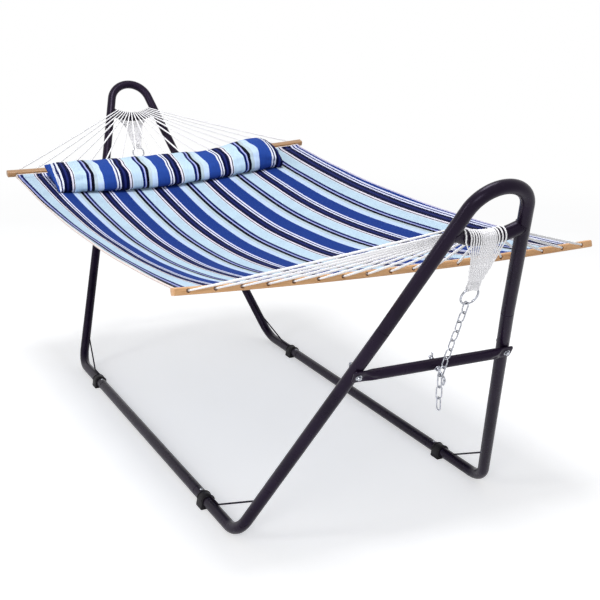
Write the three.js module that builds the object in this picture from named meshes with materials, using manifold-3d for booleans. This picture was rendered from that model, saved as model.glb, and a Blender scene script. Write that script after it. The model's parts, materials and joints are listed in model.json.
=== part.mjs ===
// Hammock on a tubular steel stand. Millimetres, +Z up, the length along X, the width along Y,
// the origin on the floor under the middle. The foot end is +X and the head end, with the
// pillow, is -X.
import * as THREE from 'three';
import { mergeVertices } from 'three/addons/utils/BufferGeometryUtils.js';
import Module from 'manifold-3d';

const wasm = await Module();
wasm.setup();

// ---------------------------------------------------------------- driving dimensions
const GAP = 0.3;                  // clearance between pieces that touch

// Stand tubes
const TUBE_D = 38;                // loops, corner tubes, rails and saddles
const TUBE_WALL = 1.5;
const TUBE_SIDES = 12;
const SPIGOT_LENGTH = 60;         // swaged end that slips into the next tube
const SPIGOT_SHOULDER = 3;        // length of the taper behind a swaged end
const BEND_STEP = 15;             // degrees between the rings of a bend

// Floor frame
const RAIL_Y = 455;               // rail centre line from the middle plane
const RAIL_Z = 23;                // rail centre line above the floor
const RAIL_END_X = 545;           // where a corner tube takes over from the rail
const CORNER_X = 870;             // where the leg line meets the rail line
const CORNER_BEND_R = 112;

// End frames, measured in their own leaning plane: s up the slope, n square to it, outwards
const STAND_HEIGHT = 1191;         // top of the loops above the floor
const LEAN = THREE.MathUtils.degToRad(29.2);
const SLIP_Y = 199.5;             // leg centre line at the slip joint under the loop
const LOOP_SPLAY = THREE.MathUtils.degToRad(15.4);
const LOOP_BEND_R = 94;
const LOOP_TOP_S = (STAND_HEIGHT - TUBE_D / 2 - RAIL_Z) / Math.cos(LEAN);
const SLIP_S = LOOP_TOP_S - LOOP_BEND_R + LOOP_BEND_R / Math.sin(LOOP_SPLAY) - SLIP_Y / Math.tan(LOOP_SPLAY);

// Rope saddle inside each loop
const SADDLE_DROP = 168.3;         // below the top of the loop, up the slope
const SADDLE_S = LOOP_TOP_S - SADDLE_DROP;
const SADDLE_DIP_R = 190;         // radius of its downward curve
const SADDLE_REACH = 108;         // half length before its ends are coped to the legs

// Cross brace
const BRACE_S = 700;
const BRACE_D = 32;
const BRACE_FLAT = 6.4;           // thickness of its flattened ends
const BRACE_FLAT_WIDTH = 42;
const BRACE_FLAT_LENGTH = 34;     // length that is fully flat
const BRACE_NECK = 26;            // length from round to flat
const BRACE_BOLT_D = 8;
const HEX_AF = 13;                // across flats of the bolt heads and nuts
const HEX_H = 6.5;

// Hook bolt and wing nut in the middle of each brace
const HOOK_D = 8;
const HOOK_ARM = 30;              // straight arm beyond its collar
const HOOK_BEND_R = 9;
const HOOK_TIP = 11;
const HOOK_THREAD = 16;           // thread past the brace, on the wing nut's side
const WING_SPAN = 40;
const WING_H = 9;

// Clamp feet and corner rods
const FOOT_X = 612;
const FOOT_LENGTH = 46;
const FOOT_WIDTH = 53;
const FOOT_SOLE = 7;              // thickness of the flat flange
const FOOT_SHELL = 4.2;           // wall over the tube
const ROD_D = 6;
const ROD_RAIL_RUN = 168;         // where the rod leaves the rail, from the corner
const ROD_LEG_RUN = 134;          // where it meets the leg
const ROD_LEG_TAIL = 24;          // length that lies along the leg
const ROD_BEND_R = 26;

// Chain and ring
const LINK_WIRE = 4;
const LINK_PITCH = 33.2;
const LINK_HALF_WIDTH = 9;        // to the middle of the wire
const LOADED_LINKS = 8;
const TAIL_LINKS = 3;
const RING_R = 26.5;
const RING_WIRE = 6;

// Hammock
const BAR_LENGTH = 1397;
const BAR_X = 1030;
// How far each bar's tips hang below its saddle, and how steeply the bar rises to the far side.
const BAR_HANG = { 1: { drop: 164.1, tilt: -0.006 }, '-1': { drop: 138.1, tilt: 0.038 } };
const BAR_BOW = 14;               // its middle hangs this much lower
const BAR_DEPTH = 32;             // along the holes
const BAR_HEIGHT = 22;
const BAR_ROUND = 5;
const BAR_ROLL = THREE.MathUtils.degToRad(15);
const CORD_COUNT = 18;
const CORD_D = 5.5;
const CORD_SIDES = 5;
const HOLE_PITCH = 77.4;
const HOLE_PLAY = 0.8;            // round a rope in its hole
const SADDLE_PITCH = { 1: 7.0, '-1': 9.0 };   // cord spacing on the foot and head saddles
const SPLIT_LEAD = 26;            // the free ropes end this far before the middle of the saddle
const RING_SPREAD = 25;           // width of the ropes where they meet the ring
const WEAVE_SPREAD = 84;          // and where their weave begins
const WEAVE_START = 0.3;          // share of the way from the saddle to the ring
const CLEW_ROWS = 6;              // rows of the weave
const CLEW_THICK = 11;            // at the ring
const HEM_OFFSET = 36;            // hem rod from the middle of the bar, along the holes
const HEM_ROD_D = 9;
const HEM_THICK = 21;
const BED_HALF_WIDTH = 668;
const BED_THICK = 10;
const BED_SAG_EDGE = 47;          // of its long edges, half way along
const BED_SAG_MIDDLE = 94;        // of its middle, below the edges
const BED_SAG_NEAR = 60;          // how much more it sags on the near side
const BED_SAG_FOOT = 17;          // and towards the foot end
const BED_FULLNESS = 1.58;        // power of the sag's shape across the bed
const HEM_RUN = 40;               // from the hem rod to where the bed has its plain thickness
const PILLOW_LENGTH = 1018;
const PILLOW_WIDTH = 262;
const PILLOW_THICK = 100;
const PILLOW_SEAM = 0.46;         // height of its side seams, as a share of its thickness
const PILLOW_X = -829;
const PILLOW_Y = -54;             // it lies loose, a little to the near side

// ---------------------------------------------------------------- materials
const steelBlack = new THREE.MeshStandardMaterial({ color: 0x2c282d, roughness: 0.42, metalness: 0.35 });
const plasticBlack = new THREE.MeshStandardMaterial({ color: 0x1d1b1d, roughness: 0.6, metalness: 0 });
const zinc = new THREE.MeshStandardMaterial({ color: 0xb9babd, roughness: 0.32, metalness: 0.9 });
const wood = new THREE.MeshStandardMaterial({ color: 0xc98d49, roughness: 0.5, metalness: 0 });
const rope = new THREE.MeshStandardMaterial({ color: 0xeeebea, roughness: 0.85, metalness: 0 });
const cloth = new THREE.MeshStandardMaterial({ color: 0x7f9fd0, roughness: 0.9, metalness: 0 });
const pillowCloth = new THREE.MeshStandardMaterial({ color: 0x3a55b0, roughness: 0.85, metalness: 0 });

// ---------------------------------------------------------------- solids
const V = (x, y, z) => new THREE.Vector3(x, y, z);
const TUBE_R = TUBE_D / 2;
const CORD_R = CORD_D / 2;

// Radius of a regular polygon whose flats lie at the given distance.
const outside = (flat, sides) => flat / Math.cos(Math.PI / sides);

// Closed surface through rings of equally many points: capped, or joined end to end.
function loft(rings, endless = false) {
  const count = rings[0].length;
  const position = rings.flatMap((ring) => ring.flatMap((p) => [p.x, p.y, p.z]));
  const index = [];
  const spans = endless ? rings.length : rings.length - 1;
  for (let i = 0; i < spans; i++) {
    const next = ((i + 1) % rings.length) * count;
    for (let j = 0; j < count; j++) {
      const k = (j + 1) % count;
      index.push(i * count + j, i * count + k, next + k, i * count + j, next + k, next + j);
    }
  }
  if (!endless) {
    const top = (rings.length - 1) * count;
    for (let j = 1; j < count - 1; j++) index.push(0, j + 1, j, top, top + j, top + j + 1);
  }
  let volume = 0;
  const at = (i) => V(position[3 * i], position[3 * i + 1], position[3 * i + 2]);
  for (let i = 0; i < index.length; i += 3) {
    volume += at(index[i]).dot(at(index[i + 1]).cross(at(index[i + 2])));
  }
  if (volume < 0) for (let i = 0; i < index.length; i += 3) index.splice(i, 3, index[i], index[i + 2], index[i + 1]);
  const geometry = new THREE.BufferGeometry();
  geometry.setAttribute('position', new THREE.Float32BufferAttribute(position, 3));
  geometry.setIndex(index);
  return geometry;
}

// Sections square to a path, carried along it without twist and mitred in its bends.
function sections(points, endless = false) {
  const n = points.length;
  const toward = (a, b) => points[(b + n) % n].clone().sub(points[(a + n) % n]).normalize();
  let carried = null;
  let last = null;
  return points.map((p, i) => {
    const before = i > 0 || endless ? toward(i - 1, i) : toward(i, i + 1);
    const after = i < n - 1 || endless ? toward(i, i + 1) : before;
    const along = before.clone().add(after).normalize();
    const side = carried
      ? carried.clone().applyQuaternion(new THREE.Quaternion().setFromUnitVectors(last, along))
      : Math.abs(along.z) < 0.9 ? V(0, 0, 1) : V(1, 0, 0);
    side.addScaledVector(along, -side.dot(along)).normalize();
    carried = side;
    last = along;
    const up = along.clone().cross(side);
    const fold = before.clone().cross(after);
    const stretch = fold.length() > 1e-4 ? 1 / along.dot(before) - 1 : 0;
    const across = stretch ? along.clone().cross(fold.normalize()) : V(0, 0, 0);
    return (radius, sides) => Array.from({ length: sides }, (_, k) => {
      const a = (2 * Math.PI * (k + 0.5)) / sides;
      const offset = side.clone().multiplyScalar(radius * Math.cos(a)).addScaledVector(up, radius * Math.sin(a));
      return p.clone().add(offset).addScaledVector(across, stretch * offset.dot(across));
    });
  });
}

// Solid round bar along a path. One radius, or one for each point.
const bar = (points, radius, sides, endless = false) => loft(
  sections(points, endless).map((ring, i) => ring(radius[i] ?? radius, sides)), endless);

// Open tube along a path, with its own outer and inner radius at each point.
function pipe(points, outer, wall, sides) {
  const rings = sections(points);
  const out = rings.map((ring, i) => ring(outer[i], sides));
  const inn = rings.map((ring, i) => ring(outer[i] - wall, sides));
  return loft([...out, ...inn.reverse()], true);
}

// Straight runs between corners, each corner rounded to the radius.
function route(corners, radius, step = BEND_STEP) {
  const out = [corners[0]];
  for (let i = 1; i < corners.length - 1; i++) {
    const into = corners[i].clone().sub(corners[i - 1]).normalize();
    const away = corners[i + 1].clone().sub(corners[i]).normalize();
    const turn = into.angleTo(away);
    const axis = into.clone().cross(away).normalize();
    const start = corners[i].clone().addScaledVector(into, -radius * Math.tan(turn / 2));
    const centre = start.clone().addScaledVector(axis.clone().cross(into), radius);
    const parts = Math.max(1, Math.ceil(THREE.MathUtils.radToDeg(turn) / step));
    for (let k = 0; k <= parts; k++) {
      out.push(start.clone().sub(centre).applyAxisAngle(axis, (turn * k) / parts).add(centre));
    }
  }
  out.push(corners[corners.length - 1]);
  return out;
}

// Prism with a regular section between two points.
const prism = (from, to, radius, sides) => bar([from, to], radius, sides);

const solid = (geometry) => {
  const bare = geometry.clone();
  bare.deleteAttribute('normal');
  bare.deleteAttribute('uv');
  const merged = mergeVertices(bare, 1e-4);
  return new wasm.Manifold(new wasm.Mesh({
    numProp: 3,
    vertProperties: Float32Array.from(merged.attributes.position.array),
    triVerts: Uint32Array.from(merged.index.array),
  }));
};
const shape = (manifold) => {
  const { vertProperties, triVerts } = manifold.getMesh();
  const geometry = new THREE.BufferGeometry();
  geometry.setAttribute('position', new THREE.BufferAttribute(Float32Array.from(vertProperties), 3));
  geometry.setIndex(new THREE.BufferAttribute(Uint32Array.from(triVerts), 1));
  return geometry;
};
const join = (...geometries) => shape(geometries.map(solid).reduce((a, b) => a.add(b)));
const cut = (geometry, ...tools) => shape(tools.map(solid).reduce((a, b) => a.subtract(b), solid(geometry)));
const largest = (geometry) => shape(
  solid(geometry).decompose().reduce((a, b) => (Math.abs(b.volume()) > Math.abs(a.volume()) ? b : a)));

const hammock = new THREE.Group();
function add(name, geometry, material) {
  geometry.computeVertexNormals();
  const mesh = new THREE.Mesh(geometry, material);
  mesh.name = name;
  hammock.add(mesh);
}

// ---------------------------------------------------------------- places
const ENDS = [[1, 'foot'], [-1, 'head']];
const SIDES = [[-1, 'near'], [1, 'far']];

// A point in the leaning plane of an end frame.
const onFrame = (end, s, y, n = 0) => V(
  end * (CORNER_X + s * Math.sin(LEAN) + n * Math.cos(LEAN)),
  y,
  RAIL_Z + s * Math.cos(LEAN) - n * Math.sin(LEAN));
const legY = (s) => (s < SLIP_S
  ? RAIL_Y + ((SLIP_Y - RAIL_Y) * s) / SLIP_S
  : SLIP_Y - (s - SLIP_S) * Math.tan(LOOP_SPLAY));
const LOOP_APEX_S = SLIP_S + SLIP_Y / Math.tan(LOOP_SPLAY);
const SPIGOT_R = (TUBE_R - TUBE_WALL) * Math.cos(Math.PI / TUBE_SIDES) - GAP;

// ---------------------------------------------------------------- stand
const loopPath = (end) => route([
  onFrame(end, SLIP_S, -SLIP_Y), onFrame(end, LOOP_APEX_S, 0), onFrame(end, SLIP_S, SLIP_Y),
], LOOP_BEND_R);

function endLoop(end) {
  const path = loopPath(end);
  return pipe(path, path.map(() => TUBE_R), TUBE_WALL, TUBE_SIDES);
}

// Ground run, floor bend and leg, with a swaged end that slips into the loop.
function cornerTube(end, side) {
  const bent = route([
    V(end * RAIL_END_X, side * RAIL_Y, RAIL_Z),
    V(end * CORNER_X, side * RAIL_Y, RAIL_Z),
    onFrame(end, SLIP_S - GAP - SPIGOT_SHOULDER, side * legY(SLIP_S - GAP - SPIGOT_SHOULDER)),
  ], CORNER_BEND_R);
  const intoLoop = (d) => onFrame(end, SLIP_S + d, side * legY(SLIP_S + d));
  const path = [...bent, intoLoop(-GAP), intoLoop(SPIGOT_LENGTH)];
  const outer = [...bent.map(() => TUBE_R), SPIGOT_R, SPIGOT_R];
  const boltHole = prism(
    onFrame(end, BRACE_S, side * legY(BRACE_S), -2 * TUBE_R),
    onFrame(end, BRACE_S, side * legY(BRACE_S), 2 * TUBE_R),
    outside(BRACE_BOLT_D / 2 + GAP, 8), 8);
  return cut(pipe(path, outer, TUBE_WALL, TUBE_SIDES), boltHole);
}

// Long floor rail, swaged at both ends.
function groundRail(side) {
  const stops = [RAIL_END_X + SPIGOT_LENGTH, RAIL_END_X - GAP, RAIL_END_X - GAP - SPIGOT_SHOULDER];
  const xs = [...stops.map((x) => -x), ...stops.reverse()];
  const outer = [SPIGOT_R, SPIGOT_R, TUBE_R, TUBE_R, SPIGOT_R, SPIGOT_R];
  return pipe(xs.map((x) => V(x, side * RAIL_Y, RAIL_Z)), outer, TUBE_WALL, TUBE_SIDES);
}

// Curved cross tube that the ropes run over, coped to the inside of the loop's legs.
const saddleS = (y) => SADDLE_S + SADDLE_DIP_R - Math.sqrt(SADDLE_DIP_R ** 2 - y ** 2);
function ropeSaddle(end) {
  const steps = 8;
  const path = Array.from({ length: steps + 1 }, (_, i) => {
    const y = SADDLE_REACH * (-1 + (2 * i) / steps);
    return onFrame(end, saddleS(y), y);
  });
  return largest(cut(
    pipe(path, path.map(() => TUBE_R), TUBE_WALL, TUBE_SIDES),
    bar(loopPath(end), outside(TUBE_R + GAP, TUBE_SIDES), TUBE_SIDES)));
}

// Round tube with flattened ends that lie on the outer face of the legs.
const BRACE_N = TUBE_R + GAP + BRACE_FLAT / 2;
function crossBrace(end) {
  const legAt = legY(BRACE_S);
  const flatEnd = legAt + BRACE_FLAT_LENGTH / 2;
  const flatStart = legAt - BRACE_FLAT_LENGTH / 2;
  const round = { n: BRACE_D / 2, s: BRACE_D / 2, power: 1 };
  const flat = { n: BRACE_FLAT / 2, s: BRACE_FLAT_WIDTH / 2, power: 0.45 };
  const blend = (t) => ({
    n: THREE.MathUtils.lerp(round.n, flat.n, t),
    s: THREE.MathUtils.lerp(round.s, flat.s, t),
    power: THREE.MathUtils.lerp(round.power, flat.power, t),
  });
  const half = [
    [0, round], [flatStart - BRACE_NECK, round], [flatStart - BRACE_NECK * 0.66, blend(0.3)],
    [flatStart - BRACE_NECK * 0.33, blend(0.75)], [flatStart, flat],
    [flatEnd - BRACE_FLAT_WIDTH * 0.16, flat], [flatEnd, { ...flat, s: flat.s * 0.62 }],
  ];
  const stations = [...half.slice(1).reverse().map(([y, f]) => [-y, f]), ...half];
  const bend = (v, power) => Math.sign(v) * Math.abs(v) ** power;
  const sides = TUBE_SIDES;
  const rings = stations.map(([y, f]) => Array.from({ length: sides }, (_, k) => {
    const a = (2 * Math.PI * (k + 0.5)) / sides;
    return onFrame(end, BRACE_S + f.s * bend(Math.sin(a), f.power), y, BRACE_N + f.n * bend(Math.cos(a), f.power));
  }));
  const hole = (y, d) => prism(
    onFrame(end, BRACE_S, y, BRACE_N - BRACE_D), onFrame(end, BRACE_S, y, BRACE_N + BRACE_D),
    outside(d / 2 + GAP, 8), 8);
  return cut(loft(rings), hole(-legAt, BRACE_BOLT_D), hole(legAt, BRACE_BOLT_D), hole(0, HOOK_D));
}

// Hexagon bolt through the brace and the leg, with its nut on the inner side.
function braceBolt(end, side) {
  const at = (n) => onFrame(end, BRACE_S, side * legY(BRACE_S), n);
  const seat = BRACE_N + BRACE_FLAT / 2 + GAP;
  const back = -TUBE_R - GAP;
  return join(
    prism(at(seat), at(seat + HEX_H), outside(HEX_AF / 2, 6), 6),
    prism(at(back - HEX_H - 4), at(seat + 1), BRACE_BOLT_D / 2, 8),
    prism(at(back), at(back - HEX_H), outside(HEX_AF / 2, 6), 6));
}

// Foot that wraps the tube, with a flat sole.
function clampFoot(end, side) {
  const dome = TUBE_R + GAP + FOOT_SHELL;
  const outline = new THREE.Shape();
  outline.moveTo(-FOOT_WIDTH / 2, 0);
  outline.lineTo(FOOT_WIDTH / 2, 0);
  outline.lineTo(FOOT_WIDTH / 2, FOOT_SOLE);
  outline.lineTo(dome + 2, FOOT_SOLE + 3);
  outline.absarc(0, RAIL_Z, dome, 0, Math.PI, false);
  outline.lineTo(-dome - 2, FOOT_SOLE + 3);
  outline.lineTo(-FOOT_WIDTH / 2, FOOT_SOLE);
  const chamfer = 2;
  const block = new THREE.ExtrudeGeometry(outline, {
    depth: FOOT_LENGTH - 2 * chamfer, bevelEnabled: true, bevelThickness: chamfer,
    bevelSize: chamfer, bevelOffset: -chamfer, bevelSegments: 1, curveSegments: 8,
  });
  block.translate(0, 0, -FOOT_LENGTH / 2 + chamfer);
  // The outline's x is the object's Y, its y is Z, and the extrusion runs along X.
  block.applyMatrix4(new THREE.Matrix4().makeBasis(V(0, 1, 0), V(0, 0, 1), V(1, 0, 0)));
  block.translate(end * FOOT_X, side * RAIL_Y, 0);
  const tube = prism(
    V(end * FOOT_X - FOOT_LENGTH, side * RAIL_Y, RAIL_Z), V(end * FOOT_X + FOOT_LENGTH, side * RAIL_Y, RAIL_Z),
    outside(TUBE_R + GAP, TUBE_SIDES), TUBE_SIDES);
  return cut(block, tube);
}

// Thin rod across a corner: along the top of the rail, over to the leg and up its inner face.
function cornerRodPath(end, side) {
  const corner = V(end * CORNER_X, side * RAIL_Y, RAIL_Z);
  const alongRail = V(-end, 0, 0);
  const alongLeg = onFrame(end, SLIP_S, side * SLIP_Y).sub(corner).normalize();
  const offRail = alongLeg.clone().addScaledVector(alongRail, -alongLeg.dot(alongRail)).normalize();
  const offLeg = alongRail.clone().addScaledVector(alongLeg, -alongLeg.dot(alongRail)).normalize();
  const lift = TUBE_R + GAP + ROD_D / 2;
  const rail = (d) => corner.clone().addScaledVector(alongRail, d).addScaledVector(offRail, lift);
  const leg = (d) => corner.clone().addScaledVector(alongLeg, d).addScaledVector(offLeg, lift);
  return route([
    rail(CORNER_X - FOOT_X - FOOT_LENGTH / 2 - 2), rail(ROD_RAIL_RUN), leg(ROD_LEG_RUN), leg(ROD_LEG_RUN + ROD_LEG_TAIL),
  ], ROD_BEND_R);
}

for (const [end, endName] of ENDS) {
  add(`end_loop_${endName}`, endLoop(end), steelBlack);
  add(`rope_saddle_${endName}`, ropeSaddle(end), steelBlack);
  add(`cross_brace_${endName}`, crossBrace(end), steelBlack);
  for (const [side, sideName] of SIDES) {
    add(`corner_tube_${endName}_${sideName}`, cornerTube(end, side), steelBlack);
    add(`clamp_foot_${endName}_${sideName}`, clampFoot(end, side), plasticBlack);
    add(`corner_rod_${endName}_${sideName}`, bar(cornerRodPath(end, side), ROD_D / 2, 6), steelBlack);
    add(`brace_bolt_${endName}_${sideName}`, braceBolt(end, side), zinc);
  }
}
for (const [side, sideName] of SIDES) add(`ground_rail_${sideName}`, groundRail(side), steelBlack);

// ---------------------------------------------------------------- hook bolts
const HOOK_SEAT = BRACE_N + BRACE_D / 2 + GAP;
const HOOK_N = HOOK_SEAT + HEX_H + HOOK_ARM / 2;         // where the chain holds the arm
const WING_SEAT = BRACE_N - BRACE_D / 2 - GAP;

// Shank through the brace, a hexagon collar, a straight arm and a tip turned down.
function hookBolt(end) {
  const elbow = HOOK_SEAT + HEX_H + HOOK_ARM + HOOK_BEND_R;
  const wire = route([
    onFrame(end, BRACE_S, 0, WING_SEAT - HOOK_THREAD), onFrame(end, BRACE_S, 0, elbow),
    onFrame(end, BRACE_S - HOOK_BEND_R - HOOK_TIP, 0, elbow),
  ], HOOK_BEND_R, 18);
  return join(
    bar(wire, HOOK_D / 2, 8),
    prism(onFrame(end, BRACE_S, 0, HOOK_SEAT), onFrame(end, BRACE_S, 0, HOOK_SEAT + HEX_H), outside(HEX_AF / 2, 6), 6));
}

// Round nut with two wings that rise from its back.
function wingNut(end) {
  const at = (s, n, y = 0) => onFrame(end, BRACE_S + s, y, n);
  const core = bar([at(0, WING_SEAT), at(0, WING_SEAT - WING_H)], [7.4, 5.6], 10);
  const wing = (dir) => {
    const outline = [[4, 0.5], [9, 1.5], [WING_SPAN / 2, 8], [WING_SPAN / 2 - 3, 14], [12, 11], [4, WING_H]];
    const face = (y) => outline.map(([s, n]) => at(dir * s, WING_SEAT - n, y));
    return loft([face(-1.4), face(1.4)]);
  };
  return cut(
    join(core, wing(1), wing(-1)),
    prism(at(0, WING_SEAT + 5), at(0, WING_SEAT - WING_H - 9), outside(HOOK_D / 2 + GAP, 8), 8));
}

// ---------------------------------------------------------------- chain and ring
const BOW_STEPS = 4;
const LINK_NEST = outside(LINK_WIRE, 2 * BOW_STEPS) + GAP;   // between the bows of two linked links
const LINK_LENGTH = LINK_PITCH + LINK_NEST;             // between the middles of its two bows
const TAIL_DROP = 0.9;                                  // room for the first tail link under the arm

// Stadium-shaped link about its centre: `long` is its length, `wide` its width.
function link(centre, long, wide) {
  const points = [];
  for (const half of [1, -1]) {
    for (let k = 0; k <= BOW_STEPS; k++) {
      const a = (Math.PI * k) / BOW_STEPS;
      points.push(centre.clone()
        .addScaledVector(long, half * (LINK_LENGTH / 2 - LINK_HALF_WIDTH + LINK_HALF_WIDTH * Math.sin(a)))
        .addScaledVector(wide, half * LINK_HALF_WIDTH * Math.cos(a)));
    }
  }
  return bar(points, LINK_WIRE / 2, 6, true);
}

// The loaded chain lies on a straight line from the hook to the outer side of the saddle.
function tensionLine(end) {
  const under = HOOK_D / 2 + GAP + LINK_WIRE + GAP + LINK_WIRE / 2 + TAIL_DROP;
  const foot = { s: BRACE_S - under, n: HOOK_N };
  const toSaddle = { s: SADDLE_S - foot.s, n: -foot.n };
  const reach = Math.hypot(toSaddle.s, toSaddle.n);
  const angle = Math.atan2(toSaddle.n, toSaddle.s) + Math.asin((TUBE_R + GAP + CORD_R) / reach);
  const up = onFrame(end, Math.cos(angle), 0, Math.sin(angle)).sub(onFrame(end, 0, 0, 0));
  const start = onFrame(end, foot.s, 0, foot.n);
  return { start, up, at: (d) => start.clone().addScaledVector(up, d) };
}
const LINK_STACK = LINK_LENGTH + (LOADED_LINKS - 1) * LINK_PITCH;
const RING_RISE = LINK_STACK - LINK_WIRE / 2 - GAP - RING_WIRE / 2 + RING_R;
const Y = V(0, 1, 0);

function ringPath(end) {
  const { up, at } = tensionLine(end);
  const centre = at(RING_RISE);
  return (a) => centre.clone().addScaledVector(up, RING_R * Math.cos(a)).addScaledVector(Y, RING_R * Math.sin(a));
}
function ring(end, radius, sides, steps = 20) {
  const at = ringPath(end);
  return bar(Array.from({ length: steps }, (_, k) => at((2 * Math.PI * k) / steps)), radius, sides, true);
}

for (const [end, endName] of ENDS) {
  add(`hook_bolt_${endName}`, hookBolt(end), zinc);
  add(`wing_nut_${endName}`, wingNut(end), zinc);
  add(`ring_${endName}`, ring(end, RING_WIRE / 2, 6), zinc);

  const { start, up, at } = tensionLine(end);
  const across = up.clone().cross(Y).normalize();
  for (let i = 0; i < LOADED_LINKS; i++) {
    // The lowest one lies across the hook's arm, and each link above is turned a quarter.
    const wide = i % 2 === 0 ? Y : across;
    add(`chain_link_${endName}_${LOADED_LINKS - i}`, link(at(LINK_LENGTH / 2 + i * LINK_PITCH), up, wide), zinc);
  }
  const down = V(0, 0, -1);
  for (let i = 0; i < TAIL_LINKS; i++) {
    const top = start.clone().addScaledVector(down, i * LINK_PITCH - LINK_NEST);
    const wide = i % 2 === 0 ? V(1, 0, 0) : Y;
    const centre = top.addScaledVector(down, LINK_LENGTH / 2);
    add(`chain_link_${endName}_${LOADED_LINKS + 1 + i}`, link(centre, down, wide), zinc);
  }
}

// ---------------------------------------------------------------- spreader bars
const bow = (y) => BAR_BOW * (1 - (2 * y / BAR_LENGTH) ** 2);
const holeAxis = (end) => V(end * Math.cos(BAR_ROLL), 0, Math.sin(BAR_ROLL));
const barPoint = (end, y, along = 0) => V(
  end * BAR_X, y, onFrame(end, SADDLE_S, 0).z - BAR_HANG[end].drop + BAR_HANG[end].tilt * y - bow(y),
).addScaledVector(holeAxis(end), along);
const cordY = (i, pitch) => (i - (CORD_COUNT - 1) / 2) * pitch;

function spreaderBar(end) {
  const h = holeAxis(end);
  const v = V(-end * Math.sin(BAR_ROLL), 0, Math.cos(BAR_ROLL));
  const outline = [];
  for (const [sh, sv, from] of [[1, 1, 0], [-1, 1, 90], [-1, -1, 180], [1, -1, 270]]) {
    for (const a of [0, 90]) {
      const rad = THREE.MathUtils.degToRad(from + a);
      outline.push([
        sh * (BAR_DEPTH / 2 - BAR_ROUND) + BAR_ROUND * Math.cos(rad),
        sv * (BAR_HEIGHT / 2 - BAR_ROUND) + BAR_ROUND * Math.sin(rad)]);
    }
  }
  const steps = 8;
  const rings = Array.from({ length: steps + 1 }, (_, i) => {
    const y = (BAR_LENGTH / 2) * (-1 + (2 * i) / steps);
    return outline.map(([dh, dv]) => barPoint(end, y).addScaledVector(h, dh).addScaledVector(v, dv));
  });
  const holes = Array.from({ length: CORD_COUNT }, (_, i) => {
    const y = cordY(i, HOLE_PITCH);
    return prism(barPoint(end, y, -BAR_DEPTH), barPoint(end, y, BAR_DEPTH), outside(CORD_R + HOLE_PLAY, 6), 6);
  });
  return cut(loft(rings), ...holes);
}

// ---------------------------------------------------------------- ropes
const hemPoint = (end, y) => barPoint(end, y, -HEM_OFFSET);
const hemRodPath = (end, reach) => Array.from({ length: 7 }, (_, i) => hemPoint(end, reach * (-1 + i / 3)));

// Where a rope turns over the saddle, from the bar's side to the ring's side.
function saddleTurn(end, i) {
  const y = cordY(i, SADDLE_PITCH[end]);
  const centre = onFrame(end, saddleS(y), y);
  const steps = 4;
  const from = barPoint(end, cordY(i, HOLE_PITCH), BAR_DEPTH / 2);
  const arriving = V(centre.x - from.x, 0, centre.z + TUBE_R - from.z);
  const leaving = tensionLine(end).up.clone().negate();
  const angleOf = (d) => Math.atan2(d.z, end * d.x);
  const turn = THREE.MathUtils.euclideanModulo(angleOf(arriving) - angleOf(leaving), 2 * Math.PI);
  const slope = Math.asin(y / SADDLE_DIP_R);
  const radius = (TUBE_R + GAP + CORD_R) / Math.cos(slope) / Math.cos(turn / steps / 2);
  return Array.from({ length: steps + 1 }, (_, k) => {
    const a = angleOf(arriving) + Math.PI / 2 - (turn * k) / steps;
    return centre.clone().add(V(end * radius * Math.cos(a), 0, radius * Math.sin(a)));
  });
}

// A rope from the hem rod, through the bar, to the place where it meets the saddle.
const freeRope = (end, i) => {
  const hole = cordY(i, HOLE_PITCH);
  return [hemPoint(end, hole), barPoint(end, hole, BAR_DEPTH / 2 + CORD_D * 0.8), saddleTurn(end, i)[0]];
};

// The space, just under the saddle and above, on one side of the plane that parts the free
// ropes from those held by the stand.
function beyondSplit(end, away) {
  const saddle = onFrame(end, SADDLE_S, 0);
  const block = new THREE.BoxGeometry(BAR_LENGTH, 2 * BAR_LENGTH, BAR_LENGTH);
  const from = end * saddle.x - SPLIT_LEAD - (away * GAP) / 2;
  return block.translate(end * (from + (away * BAR_LENGTH) / 2), 0, saddle.z - TUBE_D + BAR_LENGTH / 2);
}
function ropeFan(end) {
  const cords = Array.from({ length: CORD_COUNT }, (_, i) => bar(freeRope(end, i), CORD_R, CORD_SIDES));
  return cut(join(bar(hemRodPath(end, BED_HALF_WIDTH - 4), HEM_ROD_D / 2, 6), ...cords), beyondSplit(end, 1));
}

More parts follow.
